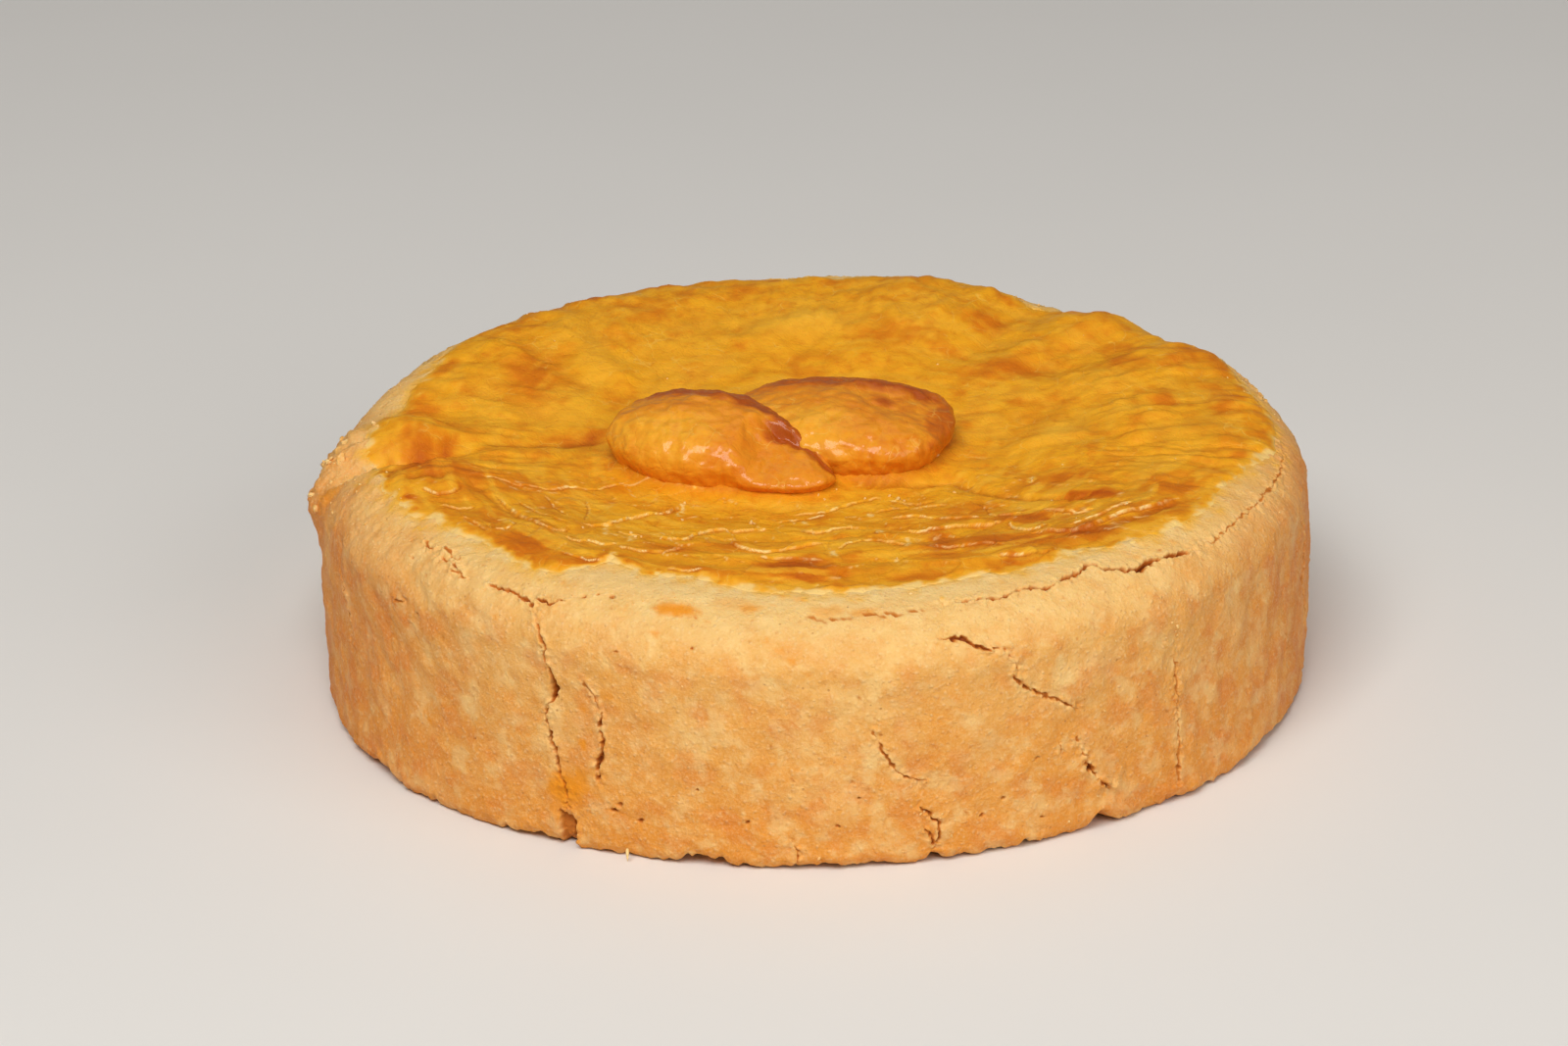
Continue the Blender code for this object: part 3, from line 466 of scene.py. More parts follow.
def crust_relief(theta, q, p):
    """Relief of the crust along its surface direction, and masks for its material."""
    w = q - CREST_RADIUS
    n = len(theta)
    z = WALL_TOP - (w - ARC)
    jag = 0.26 * fractal(p, 1.2, 3, 31, 0.62) + 0.09 * noise(p / 0.33, 35)
    jag2 = 0.26 * fractal(p, 1.2, 3, 41, 0.62) + 0.09 * noise(p / 0.33, 45)
    breaks = smooth((noise(p / 1.15, 37) + 0.50) / 0.28)            # where a crack is open
    s = np.radians(theta) * PIE_RADIUS
    wall = smooth((w - 6.0) / 5.0)
    d = shared_relief(p) - 0.10
    d += wall * (0.15 * fractal(p, 9.0, 2, 51) + 0.15 * fractal(p, 3.4, 2, 55))
    clump = noise(p / 1.35, 57)
    d += 0.10 * np.maximum(clump, 0.0) ** 1.3 - 0.05 * smooth((np.abs(clump) < 0.08) * 1.0) * smooth((w - 1.0) / 3.0)
    # sandy grain, stronger on the shoulder and where the rim crumbles
    rough = np.zeros(n)
    for at, down, half_s, half_w, much in ROUGH:
        rough = np.maximum(rough, much * in_patch(theta, w, at, down, half_s, half_w, 3.0))
    shoulder = smooth((w + 2.0) / 3.0) * smooth((13.0 - w) / 6.0)
    grain = fractal(p, 0.95, 2, 61)
    d += (0.065 + 0.040 * shoulder + 0.16 * rough) * grain
    lumps = np.maximum(0.0, noise(p / 1.5, 71)) ** 1.5
    d += 0.08 * shoulder * lumps
    chunk, own = cells(p / 1.5 + 0.22 * noise(p / 0.7, 77)[:, None], 79)
    d += rough * (0.55 * own[:, 0] * smooth((0.62 - chunk) / 0.22) + 0.55 * np.maximum(0.0, noise(p / 2.0, 73)) + 0.26 * np.abs(noise(p / 0.75, 75)) - 0.14)
    # pressed hollows with soft edges, as dough patted into a tin has
    dist, own = cells(p / 5.2, 81)
    hollow = smooth((0.42 - dist) / 0.3) * (own[:, 0] > 0.45)
    d -= 0.12 * wall * hollow
    # thin skins of dough pressed over one another end in low ragged edges
    skin = fractal(p * np.array([1.0, 1.0, 1.25]), 4.6, 4, 85, 0.58)
    some = smooth((noise(p / 7.0, 89) + 0.12) / 0.3) * smooth((w - 3.0) / 4.0)
    ledge = smooth((skin - 0.10) / 0.055)
    d += 0.09 * some * ledge
    ledge_line = np.exp(-(((skin - 0.155) / 0.022) ** 2)) * some
    ledge_shadow = np.exp(-(((skin - 0.085) / 0.022) ** 2)) * some
    # creases in the dough
    fold = np.abs(noise(p / np.array([6.5, 6.5, 4.5]), 91))
    crease = np.exp(-((fold / 0.030) ** 2)) * smooth((noise(p / 9.0, 95) - 0.05) / 0.3) * wall
    d -= 0.08 * crease
    # drag marks: slanting on the left, upright on the right
    lean = np.radians(theta - 0.9 * w)
    slant = np.stack([PIE_RADIUS * np.cos(lean), PIE_RADIUS * np.sin(lean), w * 0.22], -1)
    on_left = smooth((turn_between(-128.0, theta)) / 16.0) * smooth(turn_between(theta, -216.0) / 20.0)
    d += 0.085 * on_left * wall * fractal(slant, 1.7, 2, 101)
    upright = np.stack([p[:, 0], p[:, 1], w * 0.16], -1)
    on_right = smooth(turn_between(theta, -58.0) / 16.0) * smooth(turn_between(30.0, theta) / 20.0)
    d += 0.10 * on_right * wall * fractal(upright, 1.5, 2, 111)
    behind = smooth(turn_between(theta, 20.0) / 20.0) * smooth(turn_between(140.0, theta) / 20.0)
    d += 0.07 * behind * wall * fractal(upright, 1.9, 2, 115)
    # slanting finger dents at the left shoulder
    for at, down, half_s, half_w, tilt, deep in DENTS:
        along, across = np.radians(turn_between(theta, at)) * PIE_RADIUS, w - down
        t = math.radians(tilt)
        u, v = along * math.cos(t) + across * math.sin(t), -along * math.sin(t) + across * math.cos(t)
        d -= deep * np.exp(-((u / half_s) ** 2) - (v / half_w) ** 2)
    # pits, with painted shade in them
    dist, own = cells(p / 1.7, 121)
    wide = 0.08 + 0.12 * own[:, 1]
    pit = smooth((wide - dist) / 0.09) * (own[:, 0] > 0.66)
    d -= (0.06 + 0.12 * own[:, 2]) * pit

    recess_shade, pale = 0.35 * pit * (own[:, 2] > 0.4), np.zeros(n)
    for line, deep, wides in CRACKS:
        pts = rounded([(math.radians(a) * PIE_RADIUS, b) for a, b in line], 1)
        idx, away, side, way = by_line(s + jag, w + jag2, pts, 2.2)
        if not len(idx):
            continue
        half = CRACK_WIDTH * np.interp(way, np.linspace(0, 1, len(wides)), wides) * np.clip(0.9 + 1.1 * grain[idx], 0.3, 1.8)
        cut = smooth((half * 1.6 + 0.03 - away) / (half * 1.2 + 0.03)) * np.maximum(breaks[idx], smooth((half - 0.14) / 0.06))
        tail = smooth(way / 0.05) * smooth((1.0 - way) / 0.05) if deep > 0.3 else ends(way, 0.2)
        open_ = np.clip((half - 0.04) / 0.16, 0.0, 1.0)
        d[idx] -= min(deep, 1.2) * (0.32 + 0.68 * open_) * cut * np.maximum(tail, 0.25)
        lip = np.exp(-(((away - half * 1.9 - 0.1) / 0.30) ** 2))
        d[idx] += 0.06 * lip * tail + 0.20 * np.exp(-((away / 0.9) ** 2)) * noise(p[idx] / 0.55, 99) * (1.0 - cut)
        # one side of a crack stands a little higher than the other
        d[idx] += 0.11 * tail * np.sign(noise(np.array([[deep * 9.1, line[0][0] / 7.0, 0.5]]), 97))[0] * np.where(side > 0, np.exp(-away / 0.9), 0.0) * (1.0 - cut)
        # painted shade inside the open crack
        recess_shade[idx] = np.maximum(recess_shade[idx], cut * (0.42 + 0.42 * open_) * np.maximum(tail, 0.3))
        pale[idx] = np.maximum(pale[idx], 0.70 * np.exp(-((away / 0.75) ** 2)) * (1.0 - cut) * tail * smooth((noise(p[idx] / 1.3, 98) + 0.25) / 0.5))
    for at, down, deep, half in HOLES:
        away = np.hypot(np.radians(turn_between(theta, at)) * PIE_RADIUS + jag * 0.8, (w - down + jag2 * 0.8) * 1.3)
        cut = smooth((half * 1.0 - away) / (half * 0.8))
        d -= deep * cut
        # painted shade inside the hole
        recess_shade = np.maximum(recess_shade, cut * min(0.75, 0.30 + deep))
    # the notch at the foot: a shallow left part and a deep slit against the right-hand edge, with painted shade in
    # both, darkest in the slit
    at, wide, high = NOTCH
    across = np.radians(turn_between(theta, at)) * PIE_RADIUS + jag * 0.7
    top = high * (0.86 - 0.10 * across) + jag2 * 0.9
    inside = smooth((top - z) / 0.35) * smooth((across + 1.15) / 0.22) * smooth((0.78 - across) / 0.18)
    slit = smooth((top - 0.1 - z) / 0.4) * smooth((across - 0.05) / 0.22) * smooth((0.76 - across) / 0.16)
    d -= 0.95 * inside + 2.4 * slit
    recess_shade = np.maximum(recess_shade, np.maximum(0.50 * inside, slit))
    # ragged foot
    foot = smooth((2.4 - z) / 2.2)
    d += foot * (0.20 * fractal(p, 1.3, 2, 141) + 0.12 * noise(p / 0.55, 143))
    # where the skin is rubbed off, the crumb is pale and rough
    rub = smooth((fractal(p, 3.0, 4, 151, 0.62) - 0.20) / 0.42)
    d += 0.05 * rub * noise(p / 0.6, 155)
    pale = np.maximum(pale, 0.55 * rub)
    pale = np.maximum(pale, 0.60 * smooth(rough - 0.15) * smooth((noise(p / 0.9, 133) + 0.35) / 0.7))
    pale = np.maximum(pale, 0.45 * ledge_line)
    # paler crest just below the wash edge: painted light that brightens the crest where it faces up; the pale band on
    # the shoulder is pale crumb, partly painted highlight
    band = smooth((w + 2.5) / 1.0) * smooth((10.5 - w) / 7.0)
    pale = np.maximum(pale, 0.90 * smooth((w + 3.0) / 1.0) * smooth((3.6 - w) / 2.6))
    pale = np.maximum(pale, (0.50 + 0.45 * fractal(p, 2.6, 3, 161)) * band)

    # golder down the wall to the foot: baked colour, partly painted warm light bounced up from below
    gold = np.clip((w - 3.0) / 27.0, 0.0, 1.0) ** 0.75 + 0.16 * fractal(p, 8.0, 2, 165) * wall
    brown = 0.50 * smooth((fractal(p, 3.4, 3, 171) - 0.02) / 0.5) * (0.35 + 0.65 * wall)
    # painted shade: browner in the pressed hollows, in the creases and in a thin line just below the ragged skin edges
    brown += 0.20 * hollow * wall + 0.30 * crease + 0.35 * ledge_shadow
    brown += 0.16 * on_left * wall * np.clip(0.5 + fractal(slant, 1.7, 2, 101), 0, 1)
    # browner at the far left and far right (-170 and -6 degrees): painted shade and warm bounce light of the sides,
    # with a little baked browning; the three weaker entries are baked browning
    for at, wide, much in ((-170.0, 30.0, 0.85), (-6.0, 28.0, 0.85), (-38.0, 12.0, 0.15), (58.0, 20.0, 0.20), (120.0, 16.0, 0.25)):
        brown += much * np.exp(-((turn_between(theta, at) / wide) ** 2)) * smooth((w + 1.0) / 8.0) * (0.8 + 0.5 * fractal(p, 5.0, 2, 175))
    # side_shade: the far left and far right, made browner and less pale there as painted shade
    side_shade = np.exp(-((turn_between(theta, -172.0) / 26.0) ** 2)) + np.exp(-((turn_between(theta, -6.0) / 24.0) ** 2))
    brown = np.clip(brown * (1.0 - 0.50 * band * (1.0 - 0.7 * side_shade)), 0.0, 1.0)
    pale = pale * (0.84 - 0.38 * side_shade)

    stain = np.zeros(n)
    for at, down, hx, hy, much in STAINS:
        far = (np.radians(turn_between(theta, at)) * PIE_RADIUS + 1.2 * jag) ** 2 / hx**2 + (w - down + 1.2 * jag2) ** 2 / hy**2
        stain = np.maximum(stain, much * smooth((1.7 - far) / 1.5))
    edge = q - wash_edge(theta) - edge_wobble(p)
    blot = noise(p / 1.7, 181) + 0.4 * noise(p / 0.7, 183)
    wash = 0.95 * np.exp(-np.maximum(edge, 0.0) / 1.0) * smooth((blot + 0.42) / 0.5)
    wash = np.maximum(wash, 0.85 * smooth((blot - 0.18 - 0.22 * np.maximum(edge, 0.0)) / 0.2))
    stain = np.maximum(stain, 0.35 * smooth((noise(p / 1.1, 185) - 0.55) / 0.1) * smooth((24.0 - w) / 18.0))
    wash = np.clip(wash * (edge > -3.0), 0.0, 1.0)
    return d, dict(brown=brown, gold=np.clip(gold, 0, 1), wash=wash, pale=np.clip(pale, 0, 1), stain=np.clip(stain, 0, 1), recess_shade=np.clip(recess_shade, 0, 1))


def edge_wobble(p):
    return 0.34 * fractal(p, 2.2, 3, 191, 0.6) + 0.14 * noise(p / 0.45, 195)


def ornament_plan(name, c, s, ring):
    """Where a point of an ornament lies in plan: c, s its direction and ring its share of the way out."""
    shape = ORNAMENTS[name]
    box = 0.90 if name == "ornament_left" else 0.80
    c2, s2 = np.sign(c) * np.abs(c) ** box, np.sign(s) * np.abs(s) ** box
    length, width = shape["half"]
    front = smooth(-s / 0.5)
    if name == "ornament_left":
        along = length * c2 + 2.0 * smooth((c - 0.70) / 0.30)
        across = width * s2 * (1.0 - shape["point"] * (0.5 + 0.5 * c) ** 2) * (1.0 + 0.16 * front)
        across = across - 3.4 * smooth((c * ring - 0.15) / 0.85)
    else:
        along = length * c2 * (1.0 + 0.10 * smooth(-c / 0.5))
        across = width * s2 * (1.0 - shape["point"] * (0.5 + 0.5 * c) ** 2) * (1.0 + 0.14 * front)
    t = math.radians(shape["turn"])
    x = shape["at"][0] + ring * (along * math.cos(t) - across * math.sin(t))
    y = shape["at"][1] + ring * (along * math.sin(t) + across * math.cos(t))
    return x, y


def near_ornament(x, y):
    """Distance outside the foot of the nearer ornament, in mm (less than nothing inside)."""
    best = np.full(len(x), 99.0)
    u = np.linspace(-math.pi, math.pi, 73)
    for name in ORNAMENTS:
        px, py = ornament_plan(name, np.cos(u), np.sin(u), np.full(len(u), 0.96))
        idx, away, side, _ = by_line(x, y, np.stack([px, py], -1), 12.0)
        best[idx] = np.minimum(best[idx], -side * away)
    return best


def lid_relief(x, y, theta, q, p):
    n = len(x)
    r = np.hypot(x, y)
    jag = 0.16 * fractal(p, 0.9, 3, 231) + 0.05 * noise(p / 0.3, 235)
    jag2 = 0.16 * fractal(p, 0.9, 3, 241) + 0.05 * noise(p / 0.3, 245)
    d = shared_relief(p) - 0.05 + 0.03 * fractal(p, 1.2, 2, 205)
    edge, shade = np.zeros(n), np.zeros(n)
    inward = wash_edge(theta) + edge_wobble(p) - q                  # distance in from where the wash ends
    front = smooth((turn_between(theta, -170.0)) / 22.0) * smooth(turn_between(-12.0, theta) / 24.0) * (theta < 0)

    # the skin is crumpled like thin leather: sharp valleys between soft swells
    v1, v2, v3 = np.abs(noise(p / 9.0, 207)), np.abs(noise(p / 4.4, 209)), np.abs(noise(p / 2.1, 211))
    crumple = 0.62 * v1 + 0.40 * v2 + 0.16 * v3
    d += crumple * (1.0 - 0.35 * front) - 0.20
    valley = np.maximum(np.exp(-v1 / 0.06) * 0.55, np.exp(-v2 / 0.07) * 0.40)
    shade = np.maximum(shade, 0.55 * valley * (1.0 - 0.5 * front))

    # thin plates that overlap like scales along the front, each a little higher or lower than the next
    zone = front * smooth((r - 12.0) / 6.0) * smooth((inward + 0.2) / 1.5)
    arc = np.radians(theta + 90.0) * 34.0
    place_ = np.stack([(arc + 0.9 * fractal(p, 3.0, 2, 251)) / 4.6, (r + 0.9 * fractal(p, 3.0, 2, 253)) / 2.7, np.full(n, 0.5)], -1)
    d1, d2, h1, h2 = two_cells(place_, 255)
    gap = d2 - d1
    high1, high2 = 0.26 * h1 - 0.10 * (place_[:, 1] % 1.0), 0.26 * h2 - 0.10 * (place_[:, 1] % 1.0)
    t = 0.5 + 0.5 * smooth(gap / 0.10)
    d += zone * (t * high1 + (1.0 - t) * high2)
    thin_line = np.exp(-((gap / 0.045) ** 2)) * smooth((np.abs(h1 - h2) - 0.12) / 0.2)
    patchy = smooth((noise(p / 1.6, 257) + 0.05) / 0.3)
    edge = np.maximum(edge, 0.50 * zone * patchy * thin_line * (h1 > h2))
    shade = np.maximum(shade, 0.50 * zone * np.exp(-gap / 0.10) * (h1 < h2 - 0.1))
    shade = np.maximum(shade, 0.26 * zone * smooth((0.55 - h1) / 0.5))

    # wrinkles that run out to the rim at the right and the back
    around = 1.0 - front
    fan = np.stack([theta / 3.4, r / 9.0, np.zeros(n)], -1)
    wrinkle = np.abs(fractal(fan, 1.0, 2, 271))
    rimward = smooth((r - 22.0) / 12.0) * around
    d += 0.42 * rimward * (wrinkle - 0.25)
    shade = np.maximum(shade, 0.35 * rimward * np.exp(-wrinkle / 0.06))

    for line, high, back in FLAKES:
        idx, away, side, way = by_line(x + jag, y + jag2, rounded(line), back * 2.6)
        if not len(idx):
            continue
        sd = away * side
        fade = ends(way, 0.14)
        d[idx] += 0.62 * high * fade * np.where(sd > 0, np.exp(-((np.maximum(sd, 0.0) / (back * 1.3)) ** 1.4)) * smooth((sd + 0.03) / 0.12), 0.0)
        d[idx] -= 0.25 * high * fade * np.exp(-(((sd + 0.30) / 0.28) ** 2))
        bits = smooth((noise(p[idx] / 0.8, 259) + 0.30) / 0.35)
        edge[idx] = np.maximum(edge[idx], (0.34 + 0.60 * smooth((noise(p[idx] / 2.2, 263) + 0.1) / 0.4)) * fade * bits * np.exp(-(((sd - 0.05) / 0.062) ** 2)))
        shade[idx] = np.maximum(shade[idx], 0.85 * fade * np.exp(-(((sd + 0.14) / 0.12) ** 2)))
        shade[idx] = np.maximum(shade[idx], 0.28 * fade * np.where(sd < 0, np.exp(sd / 1.0), 0.0))
    for line, deep, half, much in CREASES:
        idx, away, side, way = by_line(x + 2 * jag, y + 2 * jag2, rounded(line), half * 3)
        if not len(idx):
            continue
        dip = np.exp(-((away / half) ** 2)) * ends(way, 0.15)
        d[idx] -= deep * dip
        shade[idx] = np.maximum(shade[idx], much * np.exp(-((away / (half * 0.7)) ** 2)) * ends(way, 0.15))
    for line, high, half in RIDGES:
        idx, away, side, way = by_line(x + 2 * jag, y + 2 * jag2, rounded(line), half * 3)
        if len(idx):
            d[idx] += high * np.exp(-((away / half) ** 2)) * ends(way, 0.2)
    torn = np.zeros(n)
    for line in SPLITS:
        idx, away, side, way = by_line(x + 1.2 * jag, y + 1.2 * jag2, rounded(line, 1), 1.2)
        if not len(idx):
            continue
        cut = smooth((0.62 - away) / 0.55) * ends(way, 0.15) * smooth((noise(p[idx] / 0.7, 261) + 0.45) / 0.5)
        d[idx] += 0.10 * cut * noise(p[idx] / 0.4, 265)
        torn[idx] = np.maximum(torn[idx], 0.85 * cut)

    brown, bright = np.zeros(n), np.zeros(n)
    bend, bend2 = 1.1 * fractal(p, 2.4, 2, 281), 1.1 * fractal(p, 2.4, 2, 283)
    # brown patches: baked browning, partly painted shade
    for bx, by, hx, hy, much in BROWNED_AND_SHADED:
        brown = np.maximum(brown, much * np.exp(-(((x - bx + bend) / (hx * 1.25)) ** 2 + ((y - by + bend2) / (hy * 1.25)) ** 2)))
    # lighter patches: lighter glaze, partly painted highlight
    for bx, by, hx, hy, much in BRIGHT:
        bright = np.maximum(bright, much * np.exp(-(((x - bx + bend) / (hx * 1.25)) ** 2 + ((y - by + bend2) / (hy * 1.25)) ** 2)))
    # streaks that run round the lid: amber ones as painted shade, like that under the edges of the plates, and lighter
    # ones as painted light, strongest at the front
    swirl = np.stack([np.radians(theta) * r / 7.5, r / 2.1, np.full(n, 0.3)], -1)
    streak = fractal(swirl, 1.0, 3, 297, 0.6) + 0.35 * fractal(p, 5.0, 2, 299)
    brown = np.maximum(brown, 0.24 * smooth((streak - 0.06) / 0.42) * smooth((r - 9.0) / 8.0))
    bright = np.maximum(bright, (0.45 + 0.30 * front) * smooth((-streak + 0.02) / 0.5))
    mottle = fractal(p, 6.0, 3, 291)
    brown = np.maximum(brown, 0.34 * smooth((mottle - 0.0) / 0.5))
    brown = np.maximum(brown, 0.45 * np.exp(-(((inward - 1.6) / 1.6) ** 2)) * smooth((noise(p / 5.0, 295) + 0.15) / 0.4))
    brown = np.clip(brown, 0, 1) * (1.0 - 0.75 * bright)
    # the skin rises softly on to the ornaments
    foot = near_ornament(x, y)
    rise = 0.95 * np.exp(-(np.maximum(foot, -0.3) + 0.3) / 0.8) * (foot < 6.0)
    d = d * smooth((foot + 1.0) / 1.6) + rise
    # painted shade round the ornaments' feet: shade and brown near them, and less of the lighter tone
    shade = np.maximum(shade * smooth((foot + 0.6) / 1.0), 0.38 * np.exp(-np.maximum(foot, 0.0) / 0.8))
    bright *= smooth((foot - 0.2) / 2.0)
    brown = np.maximum(brown, 0.30 * np.exp(-np.maximum(foot, 0.0) / 2.2))
    # the wash thins out at its edge, over crumbly pastry
    t = 0.10 * (1.0 - np.exp(-np.maximum(inward, 0.0) / 0.9)) + np.where(inward < 0, np.maximum(inward * 1.1, -0.9), 0.0) + 0.02
    keep = smooth((inward + 0.3) / 1.6)
    d = (shared_relief(p) - 0.10) * (1.0 - keep) + d * keep + t
    patchy = noise(p / 1.7, 181) + 0.4 * noise(p / 0.7, 183)
    thin = np.clip(smooth((1.4 - inward - 1.1 * patchy) / 1.7), 0.0, 1.0) * smooth((2.6 - inward) / 1.4)
    thin = np.clip(thin * 0.95, 0.0, 1.0)
    brown *= 1.0 - 0.6 * thin
    return d, dict(brown=brown, bright=bright, edge=np.clip(edge, 0, 1), shade=np.clip(shade, 0, 1), thin=np.maximum(thin, torn))


# ---------------------------------------------------------------- meshes from sheets of points
def sheet(us, vs):
    """A grid of points (u, v) and its quads."""
    gu, gv = np.meshgrid(us, vs, indexing="ij")
    pts = np.stack([gu.ravel(), gv.ravel()], -1)
    m = len(vs)
    i, j = np.meshgrid(np.arange(len(us) - 1), np.arange(m - 1), indexing="ij")
    a = (i * m + j).ravel()
    return pts, np.stack([a, a + m, a + m + 1, a + 1], -1)


def to_bmesh(pts, quads):
    mesh = bpy.data.meshes.new("sheet")
    mesh.vertices.add(len(pts))
    mesh.vertices.foreach_set("co", np.column_stack([pts, np.zeros(len(pts))]).astype(np.float32).ravel())
    mesh.loops.add(quads.size)
    mesh.loops.foreach_set("vertex_index", quads.ravel().astype(np.int32))
    mesh.polygons.add(len(quads))
    mesh.polygons.foreach_set("loop_start", np.arange(0, quads.size, 4, dtype=np.int32))
    mesh.update(calc_edges=True)
    build = bmesh.new()
    build.from_mesh(mesh)
    bpy.data.meshes.remove(mesh)
    return build


def refine(build, wanted):
    """Splits the faces whose middles are wanted into four."""
    faces = list(build.faces)
    mid = np.array([f.calc_center_median()[:2] for f in faces])
    pick = np.flatnonzero(wanted(mid))
    edges = {e for k in pick for e in faces[k].edges}
    if edges:
        bmesh.ops.subdivide_edges(build, edges=list(edges), cuts=1, use_grid_fill=True)


def flat_points(build):
    build.verts.ensure_lookup_table()
    return np.array([v.co[:2] for v in build.verts], float)


def place(build, points):
    for v, p in zip(build.verts, points * MM):
        v.co = p


def finish_mesh(build, name, masks, weld=0.0):
    """Makes an object from a bmesh, with its masks as attributes of the points."""
    layers = {k: build.verts.layers.float.new(k) for k in masks}
    build.verts.ensure_lookup_table()
    for k, layer in layers.items():
        for v, value in zip(build.verts, masks[k].tolist()):
            v[layer] = value
    if weld:
        bmesh.ops.remove_doubles(build, verts=build.verts, dist=weld)
    bmesh.ops.recalc_face_normals(build, faces=build.faces)
    mesh = bpy.data.meshes.new(name)
    build.to_mesh(mesh)
    build.free()
    mesh.shade_smooth()
    obj = bpy.data.objects.new(name, mesh)
    bpy.context.scene.collection.objects.link(obj)
    return obj


def close_under(build, masks, low):
    """Closes an open sheet with a fan of faces to one point under it."""
    build.verts.ensure_lookup_table()
    loop = [e for e in build.edges if e.is_boundary]
    tip = build.verts.new(low)
    for e in loop:
        f = e.link_faces[0]
        for lp in f.loops:
            if lp.edge is e:
                a, b = lp.vert, lp.link_loop_next.vert
        build.faces.new((b, a, tip))
    return {k: np.append(v, 0.0) for k, v in masks.items()}


# ---------------------------------------------------------------- the crust
def crack_near(theta, w, reach):
    s = np.radians(theta) * PIE_RADIUS
    hit = np.zeros(len(theta), bool)
    for line, deep, wides in CRACKS:
        if deep < 0.25:
            continue
        pts = [(math.radians(a) * PIE_RADIUS, b) for a, b in line]
        idx, away, _, _ = by_line(s, w, pts, reach + 0.4)
        hit[idx] = True
    for at, down, deep, half in HOLES:
        hit |= np.hypot(np.radians(turn_between(theta, at)) * PIE_RADIUS, w - down) < reach + half
    at, wide, high = NOTCH
    across = np.radians(turn_between(theta, at)) * PIE_RADIUS
    hit |= (np.abs(across) < wide / 2 + reach) & (w > ARC + WALL_TOP - high - 0.8)
    if reach > 0.4:
        for at, down, half_s, half_w, much in ROUGH:
            if much > 0.95:
                hit |= in_patch(theta, w, at, down, half_s, half_w, 3.0) > 0.3
    return hit


